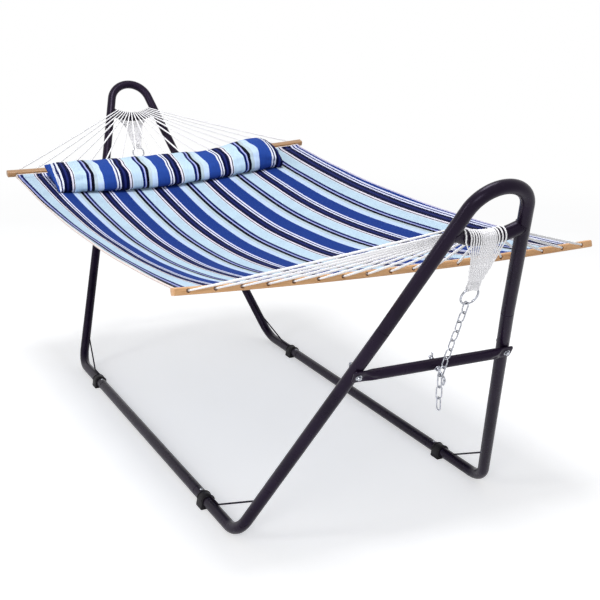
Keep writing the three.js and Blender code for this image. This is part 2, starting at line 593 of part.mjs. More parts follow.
// Ropes held by the stand: over the saddle, into a woven wedge that narrows to the ring.
function clew(end) {
  const { up, at } = tensionLine(end);
  const eyeTop = at(RING_RISE + RING_R + RING_WIRE / 2 + 2 * GAP);
  const turns = Array.from({ length: CORD_COUNT }, (_, i) => saddleTurn(end, i));
  const entry = (i) => {
    const [, from, to] = freeRope(end, i);
    return to.clone().addScaledVector(from.sub(to).normalize(), 2 * TUBE_D);
  };
  const share = (i) => cordY(i, 1) / (CORD_COUNT - 1);
  // A rope's place at t, from the saddle (0) to the ring (1).
  const down = (i, t) => {
    const leaving = turns[i][turns[i].length - 1];
    const y = t < WEAVE_START
      ? THREE.MathUtils.lerp(leaving.y, share(i) * WEAVE_SPREAD, t / WEAVE_START)
      : share(i) * THREE.MathUtils.mapLinear(t, WEAVE_START, 1, WEAVE_SPREAD, RING_SPREAD);
    return leaving.clone().lerp(eyeTop, t).setY(y);
  };
  const cords = turns.map((points, i) => [entry(i), ...points, down(i, WEAVE_START), down(i, WEAVE_START + 0.06)]);
  const outward = up.clone().cross(Y).normalize();
  const rows = Array.from({ length: 2 * CLEW_ROWS + 1 }, (_, k) => {
    const t = THREE.MathUtils.lerp(WEAVE_START, 1, k / (2 * CLEW_ROWS));
    const half = THREE.MathUtils.lerp(CORD_D * 0.7, CLEW_THICK / 2, k / (2 * CLEW_ROWS)) * (k % 2 ? 1 : 0.75);
    const edge = (k % 2 ? 1 : -0.5) + CORD_R;
    const left = down(0, t).addScaledVector(Y, -edge);
    const right = down(CORD_COUNT - 1, t).addScaledVector(Y, edge);
    const middle = down(CORD_COUNT / 2 - 1, t).lerp(down(CORD_COUNT / 2, t), 0.5);
    const point = (p, n) => p.clone().addScaledVector(outward, n);
    return [
      point(left, half), point(middle, half), point(right, half),
      point(right, -half), point(middle, -half), point(left, -half),
    ];
  });
  const onRing = ringPath(end);
  const reach = Math.asin(Math.min(1, RING_SPREAD / 2 / RING_R)) + 0.12;
  const eye = bar(Array.from({ length: 5 }, (_, k) => onRing(reach * (-1 + k / 2))), RING_WIRE / 2 + CORD_D, 8);
  return cut(
    join(eye, loft(rows), ...cords.map((path) => bar(path, CORD_R, CORD_SIDES))),
    ring(end, outside(RING_WIRE / 2 + GAP, 6), 6), beyondSplit(end, -1));
}

for (const [end, endName] of ENDS) {
  add(`spreader_bar_${endName}`, spreaderBar(end), wood);
  add(`rope_fan_${endName}`, ropeFan(end), rope);
  add(`rope_clew_${endName}`, clew(end), rope);
}

// ---------------------------------------------------------------- bed
const HEM_X = Math.abs(hemPoint(1, 0).x);
const bedMiddleZ = (x, y) => {
  const [u, t] = [x / HEM_X, y / BED_HALF_WIDTH];
  const deeper = (BED_SAG_MIDDLE + BED_SAG_FOOT * u - BED_SAG_NEAR * t) * (1 - Math.abs(t) ** BED_FULLNESS);
  return THREE.MathUtils.lerp(hemPoint(-1, y).z, hemPoint(1, y).z, (u + 1) / 2)
    - (1 - u ** 2) * (BED_SAG_EDGE + deeper);
};

// Padded sheet that sags between its two end hems. Each hem is a roll with the hem rod inside.
function bed() {
  const roll = [[11, 0.35], [7, 0.8], [0, 1], [-8, 0.92], [-18, 0.5]];
  const endStations = roll.map(([out, share]) => ({ x: HEM_X + out, thick: Math.max(BED_THICK, HEM_THICK * share) }));
  endStations[0].thick = HEM_THICK * roll[0][1];
  const inner = 10;
  const stations = [
    ...endStations,
    ...Array.from({ length: inner + 1 }, (_, i) => ({ x: (HEM_X - HEM_RUN) * (1 - (2 * i) / inner), thick: BED_THICK })),
    ...endStations.map(({ x, thick }) => ({ x: -x, thick })).reverse(),
  ];
  const across = 10;
  const rings = stations.map(({ x, thick }) => {
    const row = Array.from({ length: across + 1 }, (_, j) => BED_HALF_WIDTH * (-1 + (2 * j) / across));
    const limited = Math.sign(x) * Math.min(Math.abs(x), HEM_X);
    const z = (y) => bedMiddleZ(limited, y);
    return [
      ...row.map((y) => V(x, y, z(y) + thick / 2)),
      ...row.reverse().map((y) => V(x, y, z(y) - thick / 2)),
    ];
  });
  const tools = ENDS.flatMap(([end]) => [
    bar(hemRodPath(end, BED_HALF_WIDTH + BED_THICK), outside(HEM_ROD_D / 2 + GAP, 6), 6),
    ...Array.from({ length: CORD_COUNT }, (_, i) => bar(
      [hemPoint(end, cordY(i, HOLE_PITCH)), barPoint(end, cordY(i, HOLE_PITCH))], outside(CORD_R + GAP, 4), 4)),
  ]);
  return cut(gridCaps(rings, across), ...tools);
}

// Loft whose end faces are strips between an upper and a lower row.
function gridCaps(rings, across) {
  const geometry = loft(rings);
  const index = Array.from(geometry.index.array);
  const count = rings[0].length;
  const cap = 6 * (count - 2);
  index.length -= cap;
  const strip = (base, flip) => {
    for (let j = 0; j < across; j++) {
      const [a, b, c, d] = [base + j, base + j + 1, base + count - 2 - j, base + count - 1 - j];
      index.push(...(flip ? [a, c, b, a, d, c] : [a, b, c, a, c, d]));
    }
  };
  // The side walls tell which way round the caps go.
  const forward = index[1] === index[0] + 1;
  strip(0, forward);
  strip((rings.length - 1) * count, !forward);
  geometry.setIndex(index);
  return geometry;
}

// ---------------------------------------------------------------- pillow
// Long bolster that lies on the bed by the head bar. Its underside follows the bed.
function pillow(sheet) {
  const sides = 16;
  const steps = 14;
  const rings = Array.from({ length: steps + 1 }, (_, i) => {
    const t = Math.sin((Math.PI / 2) * (-1 + (2 * i) / steps));
    const y = PILLOW_Y + (PILLOW_LENGTH / 2) * t;
    const swell = Math.max(0.6, (1 - Math.abs(t) ** 12) ** 0.5);
    const half = (PILLOW_WIDTH / 2) * (0.88 + 0.12 * swell);
    return Array.from({ length: sides }, (_, k) => {
      const a = (2 * Math.PI * (k + 0.5)) / sides;
      const x = PILLOW_X + half * Math.cos(a);
      const belly = Math.sin(a) > 0
        ? PILLOW_SEAM + (1 - PILLOW_SEAM) * Math.sin(a) ** 0.8
        : PILLOW_SEAM * (1 - Math.abs(Math.sin(a)) ** 0.45);
      return V(x, y, bedMiddleZ(x, y) + (BED_THICK / 2 + PILLOW_THICK) * swell * belly);
    });
  });
  return cut(loft(rings), sheet.clone().translate(0, 0, GAP));
}

const sheet = bed();
add('fabric_bed', sheet, cloth);
add('pillow', pillow(sheet), pillowCloth);

export default hammock;
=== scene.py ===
"""Looks of the hammock on its stand. Shapes are worked out in millimetres, in the frame's own
axes, and put into Blender in metres. +X is the foot end, -X the head end with the pillow."""

import json
import math

import bpy
import numpy as np
from mathutils import Matrix


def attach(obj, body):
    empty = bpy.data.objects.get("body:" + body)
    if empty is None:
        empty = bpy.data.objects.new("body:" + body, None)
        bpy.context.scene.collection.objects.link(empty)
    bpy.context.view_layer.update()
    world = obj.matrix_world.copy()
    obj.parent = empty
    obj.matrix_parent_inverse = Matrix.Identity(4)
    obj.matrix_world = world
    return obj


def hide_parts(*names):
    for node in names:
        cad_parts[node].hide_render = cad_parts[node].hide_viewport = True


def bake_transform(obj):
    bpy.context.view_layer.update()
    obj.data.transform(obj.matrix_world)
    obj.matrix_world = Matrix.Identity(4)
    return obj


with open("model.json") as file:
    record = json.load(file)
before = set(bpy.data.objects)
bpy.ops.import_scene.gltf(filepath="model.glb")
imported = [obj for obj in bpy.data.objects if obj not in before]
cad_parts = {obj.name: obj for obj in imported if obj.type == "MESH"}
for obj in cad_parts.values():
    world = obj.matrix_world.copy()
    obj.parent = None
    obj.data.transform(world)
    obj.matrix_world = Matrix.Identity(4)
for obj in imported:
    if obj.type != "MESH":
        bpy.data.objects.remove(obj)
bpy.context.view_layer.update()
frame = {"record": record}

# ---------------------------------------------------------------- camera
CAMERA_AT = (3.6403, -1.6181, 1.6459)
CAMERA_YAW, CAMERA_PITCH, CAMERA_ROLL = (math.radians(a) for a in (154.053, -16.385, 0.209))
CAMERA_LENS_MM = 65.22
CAMERA_SHIFT = (0.0135, 0.0043)


def add_camera():
    forward = np.array([
        math.cos(CAMERA_PITCH) * math.cos(CAMERA_YAW),
        math.cos(CAMERA_PITCH) * math.sin(CAMERA_YAW), math.sin(CAMERA_PITCH)])
    level = np.array([math.sin(CAMERA_YAW), -math.cos(CAMERA_YAW), 0.0])
    above = np.cross(level, forward)
    right = level * math.cos(CAMERA_ROLL) + above * math.sin(CAMERA_ROLL)
    up = above * math.cos(CAMERA_ROLL) - level * math.sin(CAMERA_ROLL)
    data = bpy.data.cameras.new("camera")
    data.sensor_width = 36
    data.lens = CAMERA_LENS_MM
    data.shift_x, data.shift_y = CAMERA_SHIFT
    data.clip_end = 200
    eye = bpy.data.objects.new("camera", data)
    eye.matrix_world = Matrix([
        (right[i], up[i], -forward[i], CAMERA_AT[i]) for i in range(3)] + [(0, 0, 0, 1)])
    bpy.context.scene.collection.objects.link(eye)
    bpy.context.scene.camera = eye


add_camera()

# ---------------------------------------------------------------- dimensions, in mm
GAP = 0.3                      # between neighbouring solids
CONTACT = 0.05                 # between faces that touch on the real object
TUBE_R, TUBE_WALL = 19.0, 1.5
SPIGOT_LENGTH, SPIGOT_SHOULDER = 60.0, 3.0
SPIGOT_R = (TUBE_R - TUBE_WALL) * math.cos(math.pi / 12) - GAP
RAIL_Y, RAIL_Z, RAIL_END_X = 455.0, 23.0, 545.0
CORNER_X, CORNER_BEND_R = 870.0, 112.0
STAND_HEIGHT = 1191.0
LEAN = math.radians(29.2)
SLIP_Y = 199.5
LOOP_SPLAY = math.radians(15.4)
LOOP_BEND_R = 94.0
LOOP_TOP_S = (STAND_HEIGHT - TUBE_R - RAIL_Z) / math.cos(LEAN)
SLIP_S = (LOOP_TOP_S - LOOP_BEND_R + LOOP_BEND_R / math.sin(LOOP_SPLAY)
          - SLIP_Y / math.tan(LOOP_SPLAY))
LOOP_APEX_S = SLIP_S + SLIP_Y / math.tan(LOOP_SPLAY)
SADDLE_S, SADDLE_DIP_R = LOOP_TOP_S - 168.3, 190.0
BRACE_S, BRACE_R = 700.0, 16.0
BRACE_FLAT, BRACE_FLAT_WIDTH, BRACE_FLAT_LENGTH, BRACE_NECK = 6.4, 42.0, 34.0, 26.0
BRACE_N = TUBE_R + GAP + BRACE_FLAT / 2
CREASE_DEPTHS, CREASE_HALF_WIDTH = (5.2, 2.0), 5.5       # depths on the outer and the inner face
COPE_GAP, COPE_RANGE, BEAD_R = 0.1, (60.0, 118.0), 2.3   # where the saddle meets the loop's legs
BOLT_R, HEX_AF, HEX_H = 4.0, 13.0, 6.5
THREAD_PITCH, THREAD_DEPTH = 1.25, 0.55
HOOK_R, HOOK_ARM, HOOK_BEND_R, HOOK_TIP, HOOK_THREAD = 4.0, 30.0, 9.0, 11.0, 16.0
WING_SPAN, WING_H = 40.0, 9.0
FOOT_X, FOOT_LENGTH, FOOT_WIDTH, FOOT_SOLE, FOOT_SHELL = 612.0, 46.0, 53.0, 7.0, 4.2
FOOT_BEVEL = ((2.4, 0.0), (0.9, 0.55), (0.0, 2.4))       # inset, and place from the end
RIB_X, RIB_R = 17.0, 1.6
BUTTON_X = 572.0
ROD_R, ROD_RAIL_RUN, ROD_LEG_RUN, ROD_LEG_TAIL, ROD_BEND_R = 3.0, 168.0, 134.0, 24.0, 26.0
LINK_WIRE, LINK_PITCH, LINK_HALF_WIDTH = 4.0, 33.2, 9.0
LOADED_LINKS, TAIL_LINKS, TAIL_DROP = 8, 3, 0.9
RING_R, RING_WIRE = 26.5, 6.0
BAR_LENGTH, BAR_X, BAR_BOW = 1397.0, 1030.0, 14.0
BAR_HANG = {1: (164.1, -0.006), -1: (138.1, 0.038)}      # drop below the saddle, and tilt
BAR_DEPTH, BAR_HEIGHT, BAR_ROUND = 32.0, 22.0, 5.0
BAR_ROLL = math.radians(15)
CORD_COUNT, CORD_R, HOLE_PITCH, HOLE_R, ROPE_R_IN_HOLE = 18, 2.75, 77.4, 6.0, 2.9
SADDLE_PITCH = {1: 7.0, -1: 9.0}
RING_SPREAD, WEAVE_SPREAD, WEAVE_START = 30.0, 81.0, 0.36
HEM_OFFSET, HEM_ROD_R, HEM_THICK, HEM_RUN = 36.0, 4.5, 21.0, 40.0
BED_HALF_WIDTH, BED_THICK = 668.0, 10.0
BED_SAG_EDGE, BED_SAG_MIDDLE, BED_SAG_NEAR, BED_SAG_FOOT = 47.0, 94.0, 60.0, 17.0
BED_FULLNESS = 1.58
PILLOW_LENGTH, PILLOW_WIDTH, PILLOW_THICK, PILLOW_SEAM = 1018.0, 262.0, 100.0, 0.46
PILLOW_X, PILLOW_Y = -829.0, -54.0

ENDS = ((1, "foot"), (-1, "head"))
SIDES = ((-1, "near"), (1, "far"))
X, Y, Z = np.eye(3)


# ---------------------------------------------------------------- shape tools
def vec(*v):
    return np.array(v, float)


def unit(v):
    return v / np.linalg.norm(v)


def lerp(a, b, t):
    return a + (b - a) * t


def smooth(t):
    t = np.clip(t, 0.0, 1.0)
    return t * t * (3 - 2 * t)


def round_angles(count, offset=0.0):
    return 2 * np.pi * (np.arange(count) + offset) / count


def circle(radius, sides):
    a = round_angles(sides)
    return np.stack([radius * np.cos(a), radius * np.sin(a)], -1)


def tangents(points, closed=False):
    p = np.asarray(points, float)
    step = np.roll(p, -1, 0) - p
    step /= np.maximum(np.linalg.norm(step, axis=1, keepdims=True), 1e-9)
    back = np.roll(step, 1, 0)
    if not closed:
        step[-1] = step[-2]
        back[0] = step[0]
    t = step + back
    return t / np.linalg.norm(t, axis=1, keepdims=True)


def carried(points, closed=False):
    """Two directions square to the path at each point, carried along it without twist."""
    t = tangents(points, closed)
    side = Z if abs(t[0][2]) < 0.9 else X
    sides = np.empty_like(t)
    for i, along in enumerate(t):
        side = unit(side - side.dot(along) * along)
        sides[i] = side
    return sides, np.cross(t, sides)


def grid_faces(rows, cols, joined=False):
    """Quads between rings of points; joined closes the last ring on the first."""
    i = np.arange(rows if joined else rows - 1)[:, None]
    k = np.arange(cols)[None, :]
    below, right = ((i + 1) % rows) * cols, (k + 1) % cols
    corners = np.broadcast_arrays(i * cols + k, i * cols + right, below + right, below + k)
    return np.stack(corners, -1).reshape(-1, 4)


def capped(rings):
    """Closed shape of rings of points, its first and last ring filled: (vertices, faces)."""
    rings = np.asarray(rings)
    rows, cols = rings.shape[:2]
    caps = [np.arange(cols)[::-1], (rows - 1) * cols + np.arange(cols)]
    return rings.reshape(-1, 3), [*grid_faces(rows, cols), *caps]


def turned(shape, flip):
    """The shape, its faces turned over where flip says so."""
    verts, faces = shape
    return verts, [np.asarray(f)[::-1] for f in faces] if flip else faces


def outward_faces(shape):
    """The same closed shape with its faces turned outwards."""
    verts, faces = shape
    volume = 0.0
    for sides in {len(f) for f in faces}:
        same = np.array([f for f in faces if len(f) == sides])
        for k in range(1, sides - 1):
            a, b, c = (verts[same[:, j]] for j in (0, k, k + 1))
            volume += (a * np.cross(b, c)).sum()
    return turned(shape, volume <= 0)


def drawn_in(outline, centre, inset):
    """The outline moved towards its centre."""
    away = outline - centre
    return outline - away / np.linalg.norm(away, axis=1, keepdims=True) * inset


def sweep(points, section, scale=None, closed=False):
    """Section carried along the path: (vertices, faces). One section, or one for each point."""
    p = np.asarray(points, float)
    side, up = carried(p, closed)
    section = np.asarray(section, float)
    if section.ndim == 2:
        section = np.broadcast_to(section, (len(p),) + section.shape)
    if scale is not None:
        section = section * np.asarray(scale, float)[:, None, None]
    rings = p[:, None] + side[:, None] * section[..., :1] + up[:, None] * section[..., 1:]
    if closed:
        return rings.reshape(-1, 3), list(grid_faces(*rings.shape[:2], True))
    return capped(rings)


BEVEL_GUARD = 0.8              # from a bevel to the ring that keeps its shading to itself


def rounded_ends(points, radius, bevel, steps=3):
    """The path and its radii, with a quarter round of the bevel at both ends."""
    p = np.asarray(points, float)
    radii = np.full(len(p), float(radius)) if np.isscalar(radius) else np.asarray(radius, float)
    a = np.linspace(0, np.pi / 2, steps + 1)
    inset = np.append(bevel * (1 - np.cos(a)), bevel + BEVEL_GUARD)
    drop = np.append(bevel * (1 - np.sin(a)), 0.0)
    start = p[0] + unit(p[1] - p[0]) * inset[:, None]
    end = p[-1] - unit(p[-1] - p[-2]) * inset[::-1, None]
    return (np.concatenate([start, p[1:-1], end]),
            np.concatenate([radii[0] - drop, radii[1:-1], radii[-1] - drop[::-1]]))


def rod(points, radius, sides, bevel):
    p, r = rounded_ends(points, radius, bevel)
    return sweep(p, circle(1, sides), r)


PIPE_SIDES, PIPE_RIM = 48, 0.45


def pipe(points, radii):
    """Open tube with a wall and softly rounded rims."""
    p, outer = rounded_ends(points, radii, PIPE_RIM, 2)
    side, up = carried(p)
    ring = circle(1, PIPE_SIDES)

    def rings(radius):
        return (p[:, None] + side[:, None] * (ring[:, 0, None] * radius[:, None, None])
                + up[:, None] * (ring[:, 1, None] * radius[:, None, None]))
    inner = outer - TUBE_WALL
    inner[:3], inner[-3:] = inner[2], inner[-3]
    both = np.concatenate([rings(outer), rings(inner)[::-1]])
    return both.reshape(-1, 3), list(grid_faces(len(both), PIPE_SIDES, True))


def route(corners, radius, step=4.0):
    """Straight runs between corners, each corner rounded to the radius."""
    corners = [np.asarray(c, float) for c in corners]
    out = [corners[0]]
    for before, corner, after in zip(corners, corners[1:], corners[2:]):
        into, away = unit(corner - before), unit(after - corner)
        turn = math.acos(np.clip(into.dot(away), -1, 1))
        axis = unit(np.cross(into, away))
        start = corner - into * radius * math.tan(turn / 2)
        centre = start + np.cross(axis, into) * radius
        arm = start - centre
        parts = max(1, math.ceil(math.degrees(turn) / step))
        for k in range(parts + 1):
            a = turn * k / parts
            out.append(centre + arm * math.cos(a) + np.cross(axis, arm) * math.sin(a))
    out.append(corners[-1])
    return np.array(out)


def resample(points, step):
    p = np.asarray(points, float)
    arc = np.concatenate([[0], np.cumsum(np.linalg.norm(np.diff(p, axis=0), axis=1))])
    at = np.linspace(0, arc[-1], max(2, int(round(arc[-1] / step)) + 1))
    return np.stack([np.interp(at, arc, p[:, k]) for k in range(3)], -1), at


def eased(points, passes):
    """The path with its corners worn off, its ends kept."""
    p = np.array(points, float)
    for _ in range(passes):
        p[1:-1] = 0.25 * p[:-2] + 0.5 * p[1:-1] + 0.25 * p[2:]
    return p


class Soup:
    """Vertices and faces of several shapes, with a material number for each face."""

    def __init__(self):
        self.verts, self.faces, self.material, self.count = [], [], [], 0
        self.extra = {}

    def add(self, shape, material=0, **attributes):
        verts, faces = shape
        self.faces += [np.asarray(f) + self.count for f in faces]
        self.material += [material] * len(faces)
        self.verts.append(np.asarray(verts, float))
        for name, values in attributes.items():
            self.extra.setdefault(name, []).append(np.asarray(values, float))
        self.count += len(verts)
        return self


BODY_OF = {n: b for b, nodes in frame["record"]["behaviour"]["bodies"].items() for n in nodes}


def add_object(name, data):
    made = bpy.data.objects.new(name, data)
    bpy.context.scene.collection.objects.link(made)
    return made


def shade(mesh, sharp):
    """Smooth shading, broken where the surface turns by more than sharp degrees; 0 breaks none."""
    mesh.polygons.foreach_set("use_smooth", np.ones(len(mesh.polygons), bool))
    if sharp:
        mesh.set_sharp_from_angle(angle=math.radians(sharp))


def add_layer(mesh, name, values):
    """An attribute with one number, or with three, for each vertex."""
    three = values.ndim == 2
    layer = mesh.attributes.new(name, "FLOAT_VECTOR" if three else "FLOAT", "POINT")
    layer.data.foreach_set("vector" if three else "value", values.astype(np.float32).ravel())


def build(name, soup, materials, body=None, nodes=(), sharp=35.0):
    """A mesh object from a soup, riding on its body and standing for its CAD nodes."""
    mesh = bpy.data.meshes.new(name)
    verts = np.concatenate(soup.verts) * 0.001
    loops = np.concatenate(soup.faces)
    sizes = np.array([len(f) for f in soup.faces])
    starts = np.concatenate([[0], np.cumsum(sizes)[:-1]])
    mesh.vertices.add(len(verts))
    mesh.vertices.foreach_set("co", verts.astype(np.float32).ravel())
    mesh.loops.add(len(loops))
    mesh.loops.foreach_set("vertex_index", loops.astype(np.int32))
    mesh.polygons.add(len(sizes))
    mesh.polygons.foreach_set("loop_start", starts.astype(np.int32))
    for material in materials:
        mesh.materials.append(material)
    mesh.polygons.foreach_set("material_index", np.array(soup.material, np.int32))
    mesh.update(calc_edges=True)
    mesh.validate()
    shade(mesh, sharp)
    for key, parts in soup.extra.items():
        add_layer(mesh, key, np.concatenate(parts))
    made = add_object(name, mesh)
    if body != "blend":
        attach(made, body or BODY_OF[nodes[0]])
    if nodes:
        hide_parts(*nodes)
    return made


def build_node(node, ending, soup, material, sharp=35.0):
    """The visible piece of one CAD node."""
    return build(f"{node}_{ending}", soup, [material], nodes=(node,), sharp=sharp)


def apply_all(piece):
    """Replaces the piece's mesh by its evaluated one and drops the modifiers."""
    bpy.context.view_layer.update()
    graph = bpy.context.evaluated_depsgraph_get()
    flat = bpy.data.meshes.new_from_object(piece.evaluated_get(graph))
    piece.modifiers.clear()
    piece.data = flat


# ---------------------------------------------------------------- materials
def tone(r, g, b):
    """An sRGB colour of 0 to 255 as the linear colour of a socket."""
    return (*((c / 255 / 12.92 if c <= 10 else ((c / 255 + 0.055) / 1.055) ** 2.4)
              for c in (r, g, b)), 1.0)


def lifted(colour, lift):
    """The same, made brighter or darker."""
    return tone(*(min(255, c * lift) for c in colour))


class Nodes:
    """Makes the nodes of one tree, each as the socket that the next one takes."""

    def __init__(self, tree):
        self.tree = tree

    def feed(self, socket, value):
        if isinstance(value, bpy.types.NodeSocket):
            self.tree.links.new(value, socket)
        else:
            socket.default_value = value

    def node(self, kind, inputs=(), **props):
        made = self.tree.nodes.new("ShaderNode" + kind)
        for name, value in props.items():
            setattr(made, name, value)
        for key, value in dict(inputs).items():
            self.feed(made.inputs[key], value)
        return made

    def math(self, operation, a, b=0.0):
        return self.node("Math", {0: a, 1: b}, operation=operation).outputs[0]

    def seen_directly(self):
        """1 for the rays that show the background: camera, glossy and transmission rays."""
        rays = self.node("LightPath").outputs
        direct = self.math("MAXIMUM", rays["Is Camera Ray"], rays["Is Glossy Ray"])
        return self.math("MAXIMUM", direct, rays["Is Transmission Ray"])


class Look(Nodes):
    """A node material, built up from its Principled shader."""

    def __init__(self, name, **sockets):
        self.material = bpy.data.materials.new(name)
        self.material.use_nodes = True
        super().__init__(self.material.node_tree)
        self.shader = self.tree.nodes["Principled BSDF"]
        self.set(**{k.replace("_", " "): v for k, v in sockets.items()})
        self.place = self.tree.nodes.new("ShaderNodeTexCoord").outputs["Object"]

    def set(self, **sockets):
        for name, value in sockets.items():
            self.feed(self.shader.inputs[name], value)
        return self.material

    def scaled(self, vector, factors):
        return self.node("VectorMath", {0: vector, 1: factors}, operation="MULTIPLY").outputs[0]

    def noise(self, scale, detail=2.0, roughness=0.5, vector=None, distortion=0.0):
        return self.node("TexNoise", {
            "Vector": vector or self.place, "Scale": scale, "Detail": detail,
            "Roughness": roughness, "Distortion": distortion}).outputs["Fac"]

    def ramp(self, factor, stops, interpolation="LINEAR"):
        made = self.node("ValToRGB", {"Fac": factor})
        elements = made.color_ramp.elements
        made.color_ramp.interpolation = interpolation
        for i, (position, colour) in enumerate(stops):
            element = elements[i] if i < 2 else elements.new(position)
            element.position, element.color = position, colour
        return made.outputs["Color"]

    def spread(self, factor, low, high, from_low=0.3, from_high=0.7):
        return self.node("MapRange", {
            "Value": factor, "From Min": from_low, "From Max": from_high,
            "To Min": low, "To Max": high}).outputs["Result"]

    def mix(self, factor, a, b, blend="MIX"):
        made = self.node("Mix", {6: a, 7: b}, data_type="RGBA", blend_type=blend)
        self.feed(made.inputs["Factor"], factor)
        return made.outputs[2]

    def clouded(self, scale, detail, a, b):
        """Two sRGB colours in soft patches."""
        return self.mix(self.spread(self.noise(scale, detail), 0, 1), tone(*a), tone(*b))

    def bump(self, height, strength, distance, under=None):
        inputs = {"Height": height, "Strength": strength, "Distance": distance}
        if under is not None:
            inputs["Normal"] = under
        return self.node("Bump", inputs).outputs["Normal"]

    def attribute(self, name, output="Fac"):
        return self.node("Attribute", attribute_name=name).outputs[output]


def powder_coat(name, specular):
    look = Look(name, Specular_IOR_Level=specular, Specular_Tint=(0.8, 0.7, 1.0, 1))
    dust = look.spread(look.noise(60, 5, 0.7), 0, 0.07, 0.58, 0.75)
    waves, peel = look.bump(look.noise(140, 2), 0.12, 0.0006), look.noise(900, 2)
    return look.set(**{
        "Base Color": look.mix(dust, look.clouded(7, 4, (15, 8, 21), (28, 18, 36)), tone(92, 88, 96)),
        "Roughness": look.spread(look.noise(35, 4), 0.24, 0.35),
        "Normal": look.bump(peel, 0.16, 0.0002, waves)})


def black_plastic():
    look = Look("plastic_black", Specular_IOR_Level=0.2)
    return look.set(**{
        "Base Color": look.clouded(22, 4, (16, 14, 18), (28, 25, 30)),
        "Roughness": look.spread(look.noise(50, 3), 0.46, 0.62),
        "Normal": look.bump(look.noise(1600, 3, 0.6), 0.3, 0.0002)})


def zinc_plate():
    look = Look("zinc", Metallic=1.0)
    spangle = look.node("TexVoronoi", {"Vector": look.place, "Scale": 420.0}).outputs["Distance"]
    return look.set(**{
        "Base Color": look.clouded(160, 4, (122, 125, 132), (200, 202, 210)),
        "Roughness": look.spread(look.noise(260, 4, 0.6), 0.14, 0.32),
        "Normal": look.bump(spangle, 0.1, 0.0002, look.bump(look.noise(60, 2), 0.12, 0.0008))})


WOOD_FIGURE = (
    (0.28, (164, 114, 66)), (0.46, (206, 160, 112)), (0.58, (186, 136, 86)), (0.72, (222, 182, 138)))


def varnished_wood(name, lift):
    look = Look(name, Coat_Weight=0.22, Coat_Roughness=0.22, Specular_IOR_Level=0.4)

    def grain(scale, detail, roughness, along, distortion=0.0):
        """Noise drawn out along the bar."""
        place = look.scaled(look.place, (1.0, along, 1.0))
        return look.noise(scale, detail, roughness, place, distortion)
    streaks, pores = grain(430, 3, 0.6, 0.02), grain(1500, 2, 0.5, 0.03)
    colour = look.ramp(grain(95, 5, 0.62, 0.045, 0.6), [(at, lifted(c, lift)) for at, c in WOOD_FIGURE])
    for share, stain in (
            (look.spread(streaks, 0, 0.5, 0.42, 0.72), (138, 86, 44)),
            (look.spread(look.noise(4.5, 2), 0, 0.3), (226, 186, 144)),
            (look.spread(pores, 0, 0.35, 0.6, 0.75), (120, 72, 32))):
        colour = look.mix(share, colour, lifted(stain, lift))
    return look.set(**{
        "Base Color": colour,
        "Roughness": look.spread(streaks, 0.34, 0.5),
        "Normal": look.bump(pores, 0.1, 0.0003, look.bump(streaks, 0.1, 0.0004))})


def rope_fibre():
    look = Look("rope", Roughness=0.85, Specular_IOR_Level=0.2)
    fibre = look.noise(1500, 4, 0.65)
    soil = look.spread(look.noise(18, 3), 0, 0.25, 0.5, 0.8)
    white = look.mix(soil, tone(255, 255, 255), tone(250, 249, 252))
    # The grooves between the strands are painted a little darker and lavender than the crests: painted
    # shade.
    crest = look.spread(look.attribute("crest"), 0.0, 1.0, 0.1, 0.8)
    groove_shaded = look.mix(crest, tone(244, 242, 248), white)
    return look.set(**{
        "Base Color": look.mix(look.spread(fibre, 0, 0.25, 0.35, 0.7), groove_shaded, tone(244, 243, 247)),
        "Normal": look.bump(fibre, 0.25, 0.0004)})


STRIPE_PERIOD, ROYAL_START = 233.6, 177.5
# Where each stripe but the royal one starts, in mm across the cloth from the royal stripe's far
# edge, and its colour.
STRIPES = (
    (0.0, (192, 212, 238)), (22.0, (182, 198, 206)), (36.5, (4, 6, 24)), (48.5, (160, 168, 220)),
    (55.0, (12, 26, 88)), (66.5, (188, 212, 228)), (112.0, (216, 226, 236)), (115.0, (30, 24, 42)),
    (119.5, (228, 222, 232)), (126.0, (2, 8, 48)), (139.0, (30, 38, 96)), (147.0, (2, 10, 52)),
    (158.0, (222, 226, 248)), (165.0, (26, 34, 90)), (170.5, (222, 226, 248)))
WARP_PITCH, WEFT_PITCH = 0.0011, 0.0014


def striped_cloth(name, weave_bump, sheen, lift, royal):
    """Woven stripes. The attribute "cloth" holds each point's place on the flat cloth, in metres."""
    look = Look(name, Sheen_Weight=sheen, Sheen_Roughness=0.4, Specular_IOR_Level=0.06)
    flat = look.attribute("cloth", "Vector")
    across, along, _ = look.node("SeparateXYZ", {0: flat}).outputs

    def times(a, b):
        return look.math("MULTIPLY", a, b)
    wander = times(look.math("SUBTRACT", look.noise(220, 2, vector=flat), 0.5), 0.0009)
    periods = look.math("DIVIDE", look.math("ADD", across, wander), STRIPE_PERIOD / 1000)
    stops = [(start / STRIPE_PERIOD, lifted(colour, lift)) for start, colour in STRIPES]
    stops.append((ROYAL_START / STRIPE_PERIOD, tone(*royal)))
    stripes = look.ramp(look.math("FRACT", periods), stops, "CONSTANT")
    # Warp and weft threads, with slubs that run along the warp.
    warp = look.math("SINE", times(across, 2 * math.pi / WARP_PITCH))
    weft = look.math("SINE", times(along, 2 * math.pi / WEFT_PITCH))
    slub = look.noise(380, 3, 0.6, look.scaled(flat, (1.0, 0.12, 1.0)))
    slubbed = look.mix(look.spread(slub, 0, 0.5, 0.32, 0.68), stripes, tone(200, 202, 212), "MULTIPLY")
    fade = look.spread(look.noise(9, 3, vector=flat), 0, 0.35, 0.4, 0.7)
    relief = look.math("ADD", times(warp, weft), times(slub, 2.0))
    return look.set(**{
        "Base Color": look.mix(fade, slubbed, tone(226, 226, 232), "MULTIPLY"),
        "Roughness": look.spread(slub, 0.72, 0.9),
        "Normal": look.bump(relief, weave_bump, 0.0003)})


